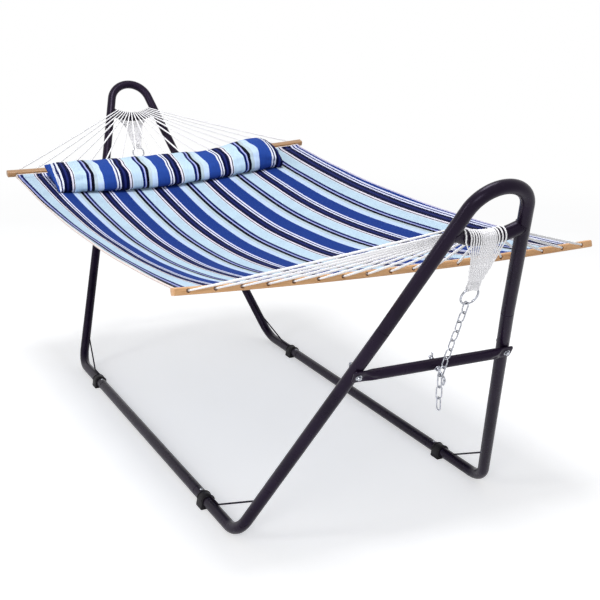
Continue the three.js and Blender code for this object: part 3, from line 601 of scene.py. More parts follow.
def plain_cloth(name, light, dark):
    look = Look(name, Roughness=0.85, Sheen_Weight=0.05, Specular_IOR_Level=0.15)
    return look.set(**{
        "Base Color": look.clouded(90, 4, light, dark),
        "Normal": look.bump(look.noise(1300, 3, 0.6), 0.35, 0.0003)})


STEEL, PLASTIC, ZINC = powder_coat("steel_black", 0.17), black_plastic(), zinc_plate()
# One wood, painted darker on the head's bar and hem rod and lighter on the foot's: painted shade and
# painted light.
WOOD = {"head": varnished_wood("wood_head_painted_shade", 0.84), "foot": varnished_wood("wood_foot_painted_light", 1.09)}
ROPE, ROD_STEEL = rope_fibre(), powder_coat("rod_black", 0.03)
# Bed and pillow wear one striped cloth; the pillow's is painted lighter, its royal most of all: painted
# light.
CLOTH = striped_cloth("bed_cloth", 0.25, 0.01, 1.02, (28, 58, 134))
PILLOW_CLOTH = striped_cloth("pillow_cloth", 0.25, 0.02, 1.08, (42, 76, 160))
BEIGE_BINDING = plain_cloth("beige_binding", (236, 224, 218), (218, 204, 200))
LILAC_BINDING = plain_cloth("lilac_binding", (206, 202, 222), (184, 178, 206))
THREAD = plain_cloth("thread", (150, 154, 190), (120, 124, 165))


# ---------------------------------------------------------------- places
def on_frame(end, s, y, n=0.0):
    """A point in the leaning plane of an end frame."""
    return vec(end * (CORNER_X + s * math.sin(LEAN) + n * math.cos(LEAN)), y,
               RAIL_Z + s * math.cos(LEAN) - n * math.sin(LEAN))


def leg_y(s):
    if s < SLIP_S:
        return RAIL_Y + (SLIP_Y - RAIL_Y) * s / SLIP_S
    return SLIP_Y - (s - SLIP_S) * math.tan(LOOP_SPLAY)


def up_slope(end):
    return unit(on_frame(end, 1, 0) - on_frame(end, 0, 0))


def outward(end):
    return unit(on_frame(end, 0, 0, 1) - on_frame(end, 0, 0))


# ---------------------------------------------------------------- stand
def end_loop(end):
    path = route([on_frame(end, SLIP_S, -SLIP_Y), on_frame(end, LOOP_APEX_S, 0),
                  on_frame(end, SLIP_S, SLIP_Y)], LOOP_BEND_R, 3)
    return Soup().add(pipe(path, TUBE_R))


def corner_tube(end, side):
    def leg(d):
        return on_frame(end, SLIP_S + d, side * leg_y(SLIP_S + d))
    bent = route([
        vec(end * RAIL_END_X, side * RAIL_Y, RAIL_Z), vec(end * CORNER_X, side * RAIL_Y, RAIL_Z),
        leg(-GAP - SPIGOT_SHOULDER)], CORNER_BEND_R, 3)
    path = np.concatenate([bent, [leg(-GAP), leg(SPIGOT_LENGTH)]])
    return Soup().add(pipe(path, [TUBE_R] * len(bent) + [SPIGOT_R] * 2))


def ground_rail(side):
    stops = [RAIL_END_X + SPIGOT_LENGTH, RAIL_END_X - GAP, RAIL_END_X - GAP - SPIGOT_SHOULDER]
    xs = [-x for x in stops] + stops[::-1]
    radii = [SPIGOT_R, SPIGOT_R, TUBE_R, TUBE_R, SPIGOT_R, SPIGOT_R]
    return Soup().add(pipe([vec(x, side * RAIL_Y, RAIL_Z) for x in xs], radii))


def saddle_s(y):
    return SADDLE_S + SADDLE_DIP_R - math.sqrt(SADDLE_DIP_R ** 2 - y ** 2)


def rope_saddle(end, sides=48, stations=25):
    """Curved tube coped to the loop's legs, with a weld bead round each end."""
    leg_in = vec(-math.sin(LOOP_SPLAY), -math.cos(LOOP_SPLAY))      # square to the leg

    def surface(y, a):
        normal = unit(vec(1, -(y / math.sqrt(SADDLE_DIP_R ** 2 - y ** 2))))
        s, across = vec(saddle_s(y), y) + TUBE_R * math.cos(a) * normal
        return s, across, TUBE_R * math.sin(a)

    def to_leg(y, a):
        """Room between a place on the saddle and the leg; below zero inside the leg."""
        s, across, n = surface(y, a)
        inside = vec(s - SLIP_S, across - SLIP_Y).dot(leg_in)
        return math.hypot(inside, n) - TUBE_R - COPE_GAP if inside > 1.5 else -1.0

    angles, reach = round_angles(sides), []
    for a in angles:
        low, high = COPE_RANGE
        for _ in range(40):
            middle = (low + high) / 2
            low, high = (middle, high) if to_leg(middle, a) > 0 else (low, middle)
        reach.append(low)
    rings = [[on_frame(end, *surface(f * r, a)) for a, r in zip(angles, reach)]
             for f in np.linspace(-1, 1, stations)]
    soup = Soup().add(turned(capped(rings), end < 0))
    for side, _ in SIDES:
        joint = [on_frame(end, *surface(side * (r - 0.5), a)) for a, r in zip(angles, reach)]
        dense, arc = resample([*joint, joint[0]], 1.6)
        arc = arc[:-1]
        bead = BEAD_R + 0.35 * np.sin(arc * 2 * np.pi / 4.2) + 0.2 * np.sin(arc * 0.9)
        soup.add(sweep(dense[:-1], circle(1, 8), bead, closed=True))
    return soup


def cross_brace(end, sides=48):
    """Round tube crushed flat at both ends, with the crease that crushing leaves."""
    leg_at = leg_y(BRACE_S)
    flat_end, flat_start = leg_at + BRACE_FLAT_LENGTH / 2, leg_at - BRACE_FLAT_LENGTH / 2
    corner = BRACE_FLAT_WIDTH * 0.16
    half = np.concatenate([
        np.linspace(0, flat_start - BRACE_NECK - 30, 6),
        np.linspace(flat_start - BRACE_NECK - 26, flat_start + 6, 20),
        np.linspace(flat_start + 12, flat_end - corner, 5),
        flat_end - corner + corner * np.sin(np.linspace(0.2, 1, 7) * np.pi / 2)])
    a = round_angles(sides, 0.5)

    def power(v, p):
        return np.sign(v) * np.abs(v) ** p
    rings = []
    for y in np.concatenate([-half[:0:-1], half]):
        past_start = abs(y) - flat_start
        t = smooth((past_start + BRACE_NECK) / BRACE_NECK)
        past = max(0.0, (abs(y) - (flat_end - corner)) / corner)
        n_half, s_half = lerp(BRACE_R, BRACE_FLAT / 2, t), lerp(BRACE_R, BRACE_FLAT_WIDTH / 2, t)
        s_half *= lerp(0.62, 1.0, math.sqrt(max(0.0, 1 - past ** 2)))
        n_half *= lerp(0.75, 1.0, math.sqrt(max(0.0, 1 - past ** 4)))
        squareness = lerp(1.0, 0.45, t)
        s, n = s_half * power(np.sin(a), squareness), n_half * power(np.cos(a), squareness)
        near = smooth((past_start + BRACE_NECK + 24) / 30) * (1 - smooth((past_start + 4) / 16))
        crease = np.where(np.cos(a) > 0, *CREASE_DEPTHS) * near
        n -= crease * np.exp(-(s / CREASE_HALF_WIDTH) ** 2) * np.sign(np.cos(a))
        rings.append([on_frame(end, BRACE_S + ds, y, BRACE_N + dn) for ds, dn in zip(s, n)])
    return Soup().add(turned(capped(rings), end < 0))


def ring_about(base, axis, heights, radii):
    """Ring of points about an axis, with a height and a radius for each."""
    side = unit(np.cross(axis, X if abs(axis[0]) < 0.7 else Y))
    up = np.cross(axis, side)
    a = round_angles(len(radii))
    return (base + axis * heights[:, None] + side * (radii * np.cos(a))[:, None]
            + up * (radii * np.sin(a))[:, None])


def lathe(base, axis, profile, sides=32, hexagon=()):
    """Rings of (height, radius) about an axis. Rings listed in hexagon have six flats."""
    six = 1 / np.cos((round_angles(sides) + np.pi / 6) % (np.pi / 3) - np.pi / 6)
    rings = []
    for i, (height, radius) in enumerate(profile):
        reach = radius * six if i in hexagon else np.full(sides, float(radius))
        chamfered = hexagon and i == max(hexagon)
        drop = (reach - radius) * 0.5 if chamfered else np.zeros(sides)
        rings.append(ring_about(base, axis, height - drop, reach))
    return capped(rings)


def hexagon_head(base, axis, height=HEX_H):
    r = HEX_AF / 2
    profile = [(0, r), (height - 0.9, r), (height - 0.1, r * 0.99), (height, r * 0.93)]
    return lathe(base, axis, profile, 36, (0, 1))


def washer(base, axis, radius=10.0, thick=1.5):
    return lathe(base, axis, [
        (0, radius - 0.3), (0.3, radius), (thick - 0.4, radius), (thick, radius - 0.5),
        (thick, HEX_AF / 2)])


def thread(base, axis, length, radius=BOLT_R, sides=20):
    """Bolt end with a helical thread."""
    rings = []
    for h in np.arange(0, length + 1e-6, THREAD_PITCH / 5):
        turn = h / THREAD_PITCH - round_angles(sides) / (2 * np.pi)
        wave = np.abs((turn % 1.0) * 2 - 1)
        taper = min(1.0, (length - h) / 0.8 + 0.6)
        radii = (radius - THREAD_DEPTH * (1 - wave)) * taper
        rings.append(ring_about(base, axis, np.full(sides, h), radii))
    return capped(rings)


def brace_bolt(end, side, front=1.5, rear=1.4):
    """Bolt through brace and leg, with a washer of the given thickness at the front and at the rear."""
    out = outward(end)

    def at(n):
        return on_frame(end, BRACE_S, side * leg_y(BRACE_S), n)
    seat, back = BRACE_N + BRACE_FLAT / 2 + CONTACT, -TUBE_R - CONTACT
    soup = Soup().add(washer(at(seat), out)).add(hexagon_head(at(seat + front), out, HEX_H - 1.2))
    soup.add(washer(at(back), -out, 9.0, rear)).add(hexagon_head(at(back - rear), -out))
    return soup.add(thread(at(back - rear - HEX_H + 0.5), -out, 4.0))


def clamp_foot(end, side):
    """Moulded clamp with a flat sole, its edges rounded off, and two ribs over its top."""
    dome, wide = TUBE_R + GAP + FOOT_SHELL, FOOT_WIDTH / 2
    outline = np.array([
        (-wide, 0.0), (wide, 0.0), (wide, FOOT_SOLE), (wide - 1.2, FOOT_SOLE + 0.9),
        (dome + 2, FOOT_SOLE + 3),
        *((dome * math.cos(t), RAIL_Z + dome * math.sin(t)) for t in np.linspace(0, np.pi, 25)),
        (-dome - 2, FOOT_SOLE + 3), (-wide + 1.2, FOOT_SOLE + 0.9), (-wide, FOOT_SOLE)])
    bore = circle(TUBE_R + CONTACT, 48) + vec(0, RAIL_Z)
    centre = vec(0, RAIL_Z * 0.8)
    rings = []
    for inset, at in (*FOOT_BEVEL, *((inset, FOOT_LENGTH - at) for inset, at in FOOT_BEVEL[::-1])):
        edge = drawn_in(outline, centre, inset)
        edge[:, 1] = np.maximum(edge[:, 1], 0.0)
        edge[:2, 1] = 0.0
        rings.append([vec(end * FOOT_X - FOOT_LENGTH / 2 + at, side * RAIL_Y + y, z) for y, z in edge])
    rings = np.array(rings)
    soup = Soup().add((rings.reshape(-1, 3), list(grid_faces(*rings.shape[:2]))))
    for at, edge in ((-FOOT_LENGTH / 2, rings[0]), (FOOT_LENGTH / 2, rings[-1])):
        hole = np.array([vec(end * FOOT_X + at, side * RAIL_Y + y, z) for y, z in bore])
        soup.add(annulus(edge, hole, at < 0)).add(annulus(hole, hole - vec(at * 0.2, 0, 0), at < 0))
    rib = dome + 0.4
    for dx in (-RIB_X, RIB_X):
        arc = [vec(end * FOOT_X + dx, side * RAIL_Y + rib * math.cos(t), RAIL_Z + rib * math.sin(t))
               for t in np.linspace(0.15, np.pi - 0.15, 30)]
        soup.add(rod(arc, RIB_R, 8, 0.8))
    return soup


def annulus(outer, inner, flip):
    """Strip between two closed rings, matched by angle round the inner one if their counts differ."""
    verts, centre = np.concatenate([outer, inner]), inner.mean(0)
    n, m = len(outer), len(inner)
    if n == m:
        return turned((verts, list(grid_faces(2, n))), not flip)

    def by_angle(p):
        a = np.arctan2(p[:, 2] - centre[2], p[:, 1] - centre[1]) % (2 * np.pi)
        order = np.argsort(a)
        return order, a[order]
    (order_o, ao), (order_i, ai) = by_angle(outer), by_angle(inner)
    faces, i, j = [], 0, 0
    while i < n or j < m:
        next_o = ao[(i + 1) % n] + 2 * np.pi * ((i + 1) // n)
        next_i = ai[(j + 1) % m] + 2 * np.pi * ((j + 1) // m)
        if j >= m or (i < n and next_o < next_i):
            faces.append([order_o[i % n], order_o[(i + 1) % n], n + order_i[j % m]])
            i += 1
        else:
            faces.append([order_o[i % n], n + order_i[(j + 1) % m], n + order_i[j % m]])
            j += 1
    return turned((verts, faces), flip)


def corner_rod(end, side):
    """Rod across the corner from the rail to the leg, with two welds along its tail on the leg."""
    corner = vec(end * CORNER_X, side * RAIL_Y, RAIL_Z)
    along_rail = vec(-end, 0, 0)
    along_leg = unit(on_frame(end, SLIP_S, side * SLIP_Y) - corner)
    off_rail = unit(along_leg - along_leg.dot(along_rail) * along_rail)
    off_leg = unit(along_rail - along_leg.dot(along_rail) * along_leg)
    lift = TUBE_R + GAP + ROD_R

    def rail(d):
        return corner + along_rail * d + off_rail * lift

    def leg(d):
        return corner + along_leg * d + off_leg * lift
    path = route([rail(CORNER_X - FOOT_X - FOOT_LENGTH / 2 - 2), rail(ROD_RAIL_RUN),
                  leg(ROD_LEG_RUN), leg(ROD_LEG_RUN + ROD_LEG_TAIL)], ROD_BEND_R, 5)
    soup = Soup().add(rod(path, ROD_R, 14, 1.0))
    tail, arc = resample([path[-1], lerp(path[-1], path[-2], 0.8)], 1.5)
    for aside in (-2.4, 2.4):
        weld = tail - off_leg * 2.2 + np.cross(along_leg, off_leg) * aside
        soup.add(sweep(weld, circle(1, 8), 1.6 + 0.25 * np.sin(arc * 1.7)))
    return soup


# ---------------------------------------------------------------- hook bolt, wing nut, ring and chain
HOOK_SEAT = BRACE_N + BRACE_R + GAP
HOOK_N = HOOK_SEAT + HEX_H + HOOK_ARM / 2
WING_SEAT = BRACE_N - BRACE_R - GAP


def hook_bolt(end):
    elbow = HOOK_SEAT + HEX_H + HOOK_ARM + HOOK_BEND_R
    start = WING_SEAT - WING_H - 0.5
    out = outward(end)

    def at(n, below=0.0):
        return on_frame(end, BRACE_S - below, 0, n)
    path = route([at(start), at(elbow), at(elbow, HOOK_BEND_R + HOOK_TIP)], HOOK_BEND_R, 6)
    soup = Soup().add(rod(path, HOOK_R - CONTACT, 24, 1.4))
    soup.add(hexagon_head(at(HOOK_SEAT), out)).add(washer(at(HOOK_SEAT - GAP), out, 9.0, 1.2))
    return soup.add(thread(at(start), -out, HOOK_THREAD - WING_H - 0.5, HOOK_R))


def wing_nut(end):
    out, up = outward(end), up_slope(end)
    base = on_frame(end, BRACE_S, 0, WING_SEAT)
    soup = Soup().add(lathe(base, -out, [
        (0, 6.9), (0.5, 7.4), (2.2, 7.3), (WING_H - 1.4, 6.0), (WING_H - 0.3, 5.4), (WING_H, 4.6)]))
    tip = WING_SPAN / 2
    wing = np.array([
        (3.5, 0.8), (9, 1.6), (15, 4.4), (tip - 0.6, 8), (tip - 0.2, 10.5), (tip - 1.6, 13.4),
        (tip - 4.5, 13.8), (12, 11.2), (7.5, 8.6), (3.5, WING_H - 0.6)])
    sheets = ((-1.4, 1.0), (-1.1, 0.3), (-0.5, 0.0), (0.5, 0.0), (1.1, 0.3), (1.4, 1.0))
    for direction in (1, -1):
        rings = [[base + up * direction * s - out * n + Y * y
                  for s, n in drawn_in(wing, wing.mean(0), inset)] for y, inset in sheets]
        soup.add(outward_faces(capped(rings)))
    return soup


LINK_NEST = LINK_WIRE / math.cos(math.pi / 8) + GAP
LINK_LENGTH = LINK_PITCH + LINK_NEST
# Places along a straight side, in its own half lengths, and how far a weld stands proud there.
LINK_WELD = ((0.5, 0), (0.75, 0.03), (0.9, 0.24), (1.0, 0.34), (1.1, 0.24), (1.25, 0.03), (1.5, 0))
RING_WELD = ((30, 0.12), (31, 0.28), (32, 0.36), (33, 0.28), (34, 0.12))


def link(centre, long, wide):
    """Stadium of round wire with a welded seam in the middle of one side."""
    straight = LINK_LENGTH / 2 - LINK_HALF_WIDTH
    points, radii = [], []
    for half in (1, -1):
        for a in np.linspace(0, np.pi, 13):
            points.append(centre + long * half * (straight + LINK_HALF_WIDTH * math.sin(a))
                          + wide * half * LINK_HALF_WIDTH * math.cos(a))
            radii.append(LINK_WIRE / 2)
        for t, proud in LINK_WELD:
            points.append(centre + long * half * straight * (1 - t) - wide * half * LINK_HALF_WIDTH)
            radii.append(LINK_WIRE / 2 + (proud if half > 0 else 0))
    return Soup().add(sweep(points, circle(1, 16), radii, closed=True))


def tension_line(end):
    """Where the loaded chain starts, and its direction up to the saddle."""
    under = HOOK_R + GAP + LINK_WIRE + GAP + LINK_WIRE / 2 + TAIL_DROP
    ds, dn = SADDLE_S - BRACE_S + under, -HOOK_N
    angle = math.atan2(dn, ds) + math.asin((TUBE_R + GAP + CORD_R) / math.hypot(ds, dn))
    up = on_frame(end, math.cos(angle), 0, math.sin(angle)) - on_frame(end, 0, 0, 0)
    return on_frame(end, BRACE_S - under, 0, HOOK_N), up


LINK_STACK = LINK_LENGTH + (LOADED_LINKS - 1) * LINK_PITCH
RING_RISE = LINK_STACK - LINK_WIRE / 2 - GAP - RING_WIRE / 2 + RING_R


def on_ring(end, a):
    start, up = tension_line(end)
    return start + up * (RING_RISE + RING_R * math.cos(a)) + Y * RING_R * math.sin(a)


def ring(end, steps=96):
    points = [on_ring(end, 2 * np.pi * k / steps) for k in range(steps)]
    radii = np.full(steps, RING_WIRE / 2)
    for k, proud in RING_WELD:
        radii[k] += proud
    return Soup().add(sweep(points, circle(1, 20), radii, closed=True))


def chain(end, end_name):
    start, up = tension_line(end)
    across = unit(np.cross(up, Y))

    def place(number, centre, long, wide):
        build_node(f"chain_link_{end_name}_{number}", "wire", link(centre, long, wide), ZINC)
    for i in range(LOADED_LINKS):
        centre = start + up * (LINK_LENGTH / 2 + i * LINK_PITCH)
        place(LOADED_LINKS - i, centre, up, across if i % 2 else Y)
    for i in range(TAIL_LINKS):
        centre = start - Z * (i * LINK_PITCH - LINK_NEST + LINK_LENGTH / 2)
        place(LOADED_LINKS + 1 + i, centre, -Z, Y if i % 2 else X)


def make_stand():
    for end, name in ENDS:
        for kind, shape in (("end_loop", end_loop), ("rope_saddle", rope_saddle),
                            ("cross_brace", cross_brace)):
            build_node(f"{kind}_{name}", "tube", shape(end), STEEL)
        for kind, shape in (("hook_bolt", hook_bolt), ("wing_nut", wing_nut), ("ring", ring)):
            build_node(f"{kind}_{name}", "metal", shape(end), ZINC)
        chain(end, name)
        for side, side_name in SIDES:
            where = f"{name}_{side_name}"
            for kind, ending, shape, material, slot, sharp in (
                    ("corner_tube", "tube", corner_tube, STEEL, "steel_black", 25),
                    ("corner_rod", "wire", corner_rod, ROD_STEEL, "steel_black", 35),
                    ("brace_bolt", "metal", brace_bolt, ZINC, "zinc", 35),
                    ("clamp_foot", "moulding", clamp_foot, PLASTIC, "plastic_black", 35)):
                build_node(f"{kind}_{where}", ending, shape(end, side), material, sharp)
            # Button that holds the spigot of the rail in the corner tube.
            button = lathe(vec(end * BUTTON_X, side * RAIL_Y, RAIL_Z + TUBE_R - 0.6), Z, [
                (0, 5.2), (1.2, 5.0), (2.4, 4.2), (3.2, 2.8), (3.6, 1.2)], 24)
            build(f"rail_button_{where}", Soup().add(button), [ZINC], body="stand")
    for side, side_name in SIDES:
        build_node(f"ground_rail_{side_name}", "tube", ground_rail(side), STEEL, 25)


# ---------------------------------------------------------------- spreader bars
SADDLE_Z = {end: on_frame(end, SADDLE_S, 0)[2] for end, _ in ENDS}


def hole_axis(end):
    return vec(end * math.cos(BAR_ROLL), 0, math.sin(BAR_ROLL))


def bar_z(end, y):
    drop, tilt = BAR_HANG[end]
    return SADDLE_Z[end] - drop + tilt * y - BAR_BOW * (1 - (2 * y / BAR_LENGTH) ** 2)


def bar_point(end, y, along=0.0):
    """A point on the line of the hole at y, from the middle of the bar outwards."""
    return vec(end * BAR_X, y, bar_z(end, y)) + hole_axis(end) * along


def cord_y(i, pitch):
    return (i - (CORD_COUNT - 1) / 2) * pitch


BAR_END = ((0, 2.0), (0.35, 1.15), (0.95, 0.45), (2.0, 0))       # place from the end, and inset


def spreader_bar(end, name):
    h, v = hole_axis(end), vec(-end * math.sin(BAR_ROLL), 0, math.cos(BAR_ROLL))
    size = np.array([BAR_DEPTH / 2, BAR_HEIGHT / 2])
    outline = np.array([
        (sh * (size[0] - BAR_ROUND) + BAR_ROUND * math.cos(a),
         sv * (size[1] - BAR_ROUND) + BAR_ROUND * math.sin(a))
        for sh, sv, start in ((1, 1, 0), (-1, 1, 90), (-1, -1, 180), (1, -1, 270))
        for a in np.radians(np.linspace(start, start + 90, 6))])
    half = BAR_LENGTH / 2
    stations = [(-half + at, inset) for at, inset in BAR_END]
    stations += [(y, 0) for y in np.linspace(-half + 12, half - 12, 61)]
    stations += [(half - at, inset) for at, inset in BAR_END[::-1]]
    rings = [[bar_point(end, y) + h * dh + v * dv for dh, dv in outline * (1 - inset / size)]
             for y, inset in stations]
    wood = Soup().add(outward_faces(capped(rings)))
    drill(build_node(f"spreader_bar_{name}", "wood", wood, WOOD[name], 40), end)


def drill(bar, end):
    """Cuts the rope holes, lightly countersunk, out of the bar."""
    deep, flare = BAR_DEPTH / 2, HOLE_R + 5.4
    profile = [(-deep - 4, flare), (-deep + 1.4, HOLE_R), (deep - 1.4, HOLE_R), (deep + 4, flare)]
    cutter = Soup()
    for i in range(CORD_COUNT):
        cutter.add(lathe(bar_point(end, cord_y(i, HOLE_PITCH)), hole_axis(end), profile, 24))
    mesh = bpy.data.meshes.new("drill")
    faces = [list(map(int, f)) for f in cutter.faces]
    mesh.from_pydata((np.concatenate(cutter.verts) * 0.001).tolist(), [], faces)
    bit = add_object("drill", mesh)
    cut = bar.modifiers.new("holes", "BOOLEAN")
    cut.operation, cut.object, cut.solver = "DIFFERENCE", bit, "EXACT"
    apply_all(bar)
    shade(bar.data, 30)
    bpy.data.objects.remove(bit)


# ---------------------------------------------------------------- ropes
ROPE_R = 3.8                   # over the crests of its strands
ROPE_LAY = 24.0                # length of one full turn of its three strands
LOBES = np.array([1.0, 0.93, 0.76, 0.93] * 3)


def add_rope(soup, points, radius, phase=0.0):
    """Three-strand rope along a path, its grooves winding round it. Radius is one number, or stops
    of (share of the length, radius). The attribute "crest" is 0 in the grooves and 1 on the strands."""
    p, arc = resample(points, 2.0)
    if np.isscalar(radius):
        radii = np.full(len(p), float(radius))
    else:
        radii = np.interp(arc / arc[-1], *zip(*radius))
    turn = phase + 2 * np.pi * arc / ROPE_LAY
    a = round_angles(len(LOBES)) + turn[:, None]
    r = radii[:, None] * LOBES
    crest = (LOBES - LOBES.min()) / (1 - LOBES.min())
    soup.add(sweep(p, np.stack([r * np.cos(a), r * np.sin(a)], -1)), crest=np.tile(crest, len(p)))


def hem_point(end, y):
    return bar_point(end, y, -HEM_OFFSET)


# Where the ropes lie across the foot's saddle, which they have slid along a little.
FOOT_SADDLE_Y = (
    -77, -57.3, -48.3, -39.4, -31, -23, -16.5, -11, -6, -1, 4, 8.8, 13.6, 18.4, 23.4, 30.5, 40, 49.5)


def saddle_y(end, i):
    """Where a rope lies on the saddle; on the head's, the outer ones stand a little further apart."""
    if end > 0:
        return FOOT_SADDLE_Y[i]
    k = cord_y(i, 1)
    return k * SADDLE_PITCH[end] + math.copysign(max(0.0, abs(k) - 5.5), k)


def saddle_arc(end, i, steps=14):
    """The rope's middle line over the saddle, from the bar's side to the ring's side."""
    y = saddle_y(end, i)
    centre = on_frame(end, saddle_s(y), y)
    source = bar_point(end, cord_y(i, HOLE_PITCH), BAR_DEPTH / 2)
    arriving = vec(centre[0] - source[0], 0, centre[2] + TUBE_R - source[2])
    leaving = -tension_line(end)[1]

    def angle_of(d):
        return math.atan2(d[2], end * d[0])
    turn = (angle_of(arriving) - angle_of(leaving)) % (2 * math.pi)
    radius = (TUBE_R + GAP + CORD_R) / math.cos(math.asin(y / SADDLE_DIP_R))
    out = []
    for k in range(steps + 1):
        a = angle_of(arriving) + math.pi / 2 - turn * k / steps
        out.append(centre + vec(end * radius * math.cos(a), 0, radius * math.sin(a)))
    return out


ROPE_SAG = (2.2, 3.8)          # of the middle ropes, and what it grows to at a place of 1 in the fan
# The strands hang from the saddle (0) to the ring (1), woven with the weft in between.
WEAVE_ROWS = 7
STRAND_R, STRAND_END_R, WEFT_R, WHIPPING_R = 1.75, 1.9, 1.4, 1.5
WEAVE_DEPTH, LAYER_DEPTH, WHIPPING_DEPTH = 1.75, 3.4, 6.0
WHIPPING = (0.915, 0.937, 0.959)


def weave_t(row):
    return lerp(WEAVE_START + 0.2, 0.9, row / (WEAVE_ROWS - 1))


def weave_offset(i, t):
    """Over and under the weft rows, fading to two layers at the ring."""
    row = (t - weave_t(0)) / (weave_t(1) - weave_t(0))
    sign = 1 if i % 2 else -1
    swing = math.cos(math.pi * row) * sign
    fade = smooth((t - WEAVE_START - 0.06) / 0.08) * (1 - smooth((t - 0.9) / 0.06))
    layer = smooth((t - 0.86) / 0.1) * sign
    return WEAVE_DEPTH * swing * fade + LAYER_DEPTH * layer


def share(i):
    """A rope's place in the fan, from -0.5 to 0.5."""
    return cord_y(i, 1) / (CORD_COUNT - 1)


def fan_path(end, i, saddle_start):
    """From the hem through the bar to the saddle, sagging a little."""
    hole = cord_y(i, HOLE_PITCH)
    aside = np.sign(-hole) * (HOLE_R - ROPE_R_IN_HOLE) * min(1.0, abs(hole) / 120)
    exit_at = bar_point(end, hole, BAR_DEPTH / 2 + 2.5) + Y * aside + Z * 1.2
    free = route([hem_point(end, hole), exit_at, saddle_start], 5.0, 12)
    sagged, along = resample(free[2:], 12)
    t = along / along[-1]
    sagged[:, 2] -= 4 * t * (1 - t) * lerp(*ROPE_SAG, abs(share(i)))
    return [free[0], lerp(free[0], free[1], 0.5), free[1], *sagged]


def bight(end, i, normal):
    """A rope's end, turned round the wire of the ring. Two ropes share each place on it."""
    start, up = tension_line(end)
    pairs = CORD_COUNT / 2 - 1
    wire = on_ring(end, math.asin(np.clip((i // 2 - pairs / 2) / pairs * RING_SPREAD / RING_R, -1, 1)))
    from_middle = unit(wire - (start + up * RING_RISE))
    turn_r = RING_WIRE / 2 + STRAND_END_R + 0.15
    face = normal * (1 if i % 2 else -1)
    return [wire + from_middle * turn_r * 0.9 + face * turn_r * 0.98,
            *(wire + turn_r * (face * math.cos(b) - from_middle * math.sin(b))
              for b in np.linspace(0, np.pi / 2 + 0.12, 9))]


def make_ropes(end, name):
    """Every rope from its hem through the bar, over the saddle and down the weave to the ring."""
    start, up = tension_line(end)
    normal = unit(np.cross(up, Y)) * (1 if np.cross(up, Y).dot(outward(end)) > 0 else -1)
    eye_top = start + up * (RING_RISE + RING_R + RING_WIRE / 2 + 2 * GAP)
    arcs = [saddle_arc(end, i) for i in range(CORD_COUNT)]
    soup = Soup()

    def down(i, t):
        wide = WEAVE_SPREAD * share(i)
        p = lerp(arcs[i][-1], eye_top, t)
        p[1] = (lerp(arcs[i][-1][1], wide, t / WEAVE_START) if t < WEAVE_START
                else lerp(wide, RING_SPREAD * share(i), (t - WEAVE_START) / (1 - WEAVE_START)))
        return p

    for i, arc in enumerate(arcs):
        over = np.array([*fan_path(end, i, arc[0]), *arc[1:]])
        weave = [down(i, t) + normal * weave_offset(i, t) for t in np.linspace(0.05, 0.93, 56)]
        dense, along = resample([*over, *weave, *bight(end, i, normal)], 2.0)
        bend = np.linalg.norm(np.diff(over, axis=0), axis=1).sum() / along[-1]
        add_rope(soup, eased(dense, 3), (
            (0, ROPE_R_IN_HOLE), (0.075, ROPE_R_IN_HOLE), (0.13, ROPE_R), (bend * 0.7, ROPE_R),
            (bend * 0.93, 2.6), (lerp(bend, 1, 0.3), 2.0), (lerp(bend, 1, 0.5), STRAND_R),
            (1, STRAND_END_R)), i * 1.7)
    # The weft, one rope that snakes through the strands from side to side.
    snake = []
    for row in range(WEAVE_ROWS):
        t, way = weave_t(row), -1 if row % 2 else 1
        ids = range(CORD_COUNT)[::way]
        snake += [down(i, t) - normal * weave_offset(i, t) * 1.25 for i in ids]
        snake.append(down(ids[-1], lerp(t, weave_t(row + 1), 0.5)) + Y * 3.4 * way)
    add_rope(soup, eased(resample(snake[:-1], 1.5)[0], 4), WEFT_R)
    # Whipping that gathers the strands above the ring.
    for t in WHIPPING:
        middle = lerp(down(8, t), down(9, t), 0.5)
        half = abs(down(0, t)[1]) + 2.4
        add_rope(soup, [middle + Y * half * math.cos(b) + normal * WHIPPING_DEPTH * math.sin(b)
                        for b in np.linspace(0, 2 * np.pi, 40)], WHIPPING_R)
    ropes = build(f"ropes_{name}", soup, [ROPE], body="blend",
                  nodes=(f"rope_fan_{name}", f"rope_clew_{name}"), sharp=0)
    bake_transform(ropes)
    hem = [hem_point(end, y) for y in np.linspace(-BED_HALF_WIDTH + 4, BED_HALF_WIDTH - 4, 41)]
    build(f"hem_rod_{name}", Soup().add(rod(hem, HEM_ROD_R, 16, 1.2)), [WOOD[name]], body="bed")


# ---------------------------------------------------------------- bed
HEM_X = abs(hem_point(1, 0)[0])


def hem_z(end, y):
    return bar_z(end, y) - HEM_OFFSET * math.sin(BAR_ROLL)


def bed_middle_z(x, y):
    u, t = x / HEM_X, np.clip(y / BED_HALF_WIDTH, -1, 1)
    deeper = (BED_SAG_MIDDLE + BED_SAG_FOOT * u - BED_SAG_NEAR * t) * (1 - np.abs(t) ** BED_FULLNESS)
    return lerp(hem_z(-1, y), hem_z(1, y), (u + 1) / 2) - (1 - u ** 2) * (BED_SAG_EDGE + deeper)


HEM_PROFILE = (                # place past the hem rod, and thickness of the cloth round it
    (-HEM_RUN - 6, BED_THICK), (-30, BED_THICK + 1), (-20, 14.5), (-12, 18.4), (-6, 20.4),
    (0, HEM_THICK), (5, 18.6), (8, 13.5), (10, 8.5), (11, 5.5))


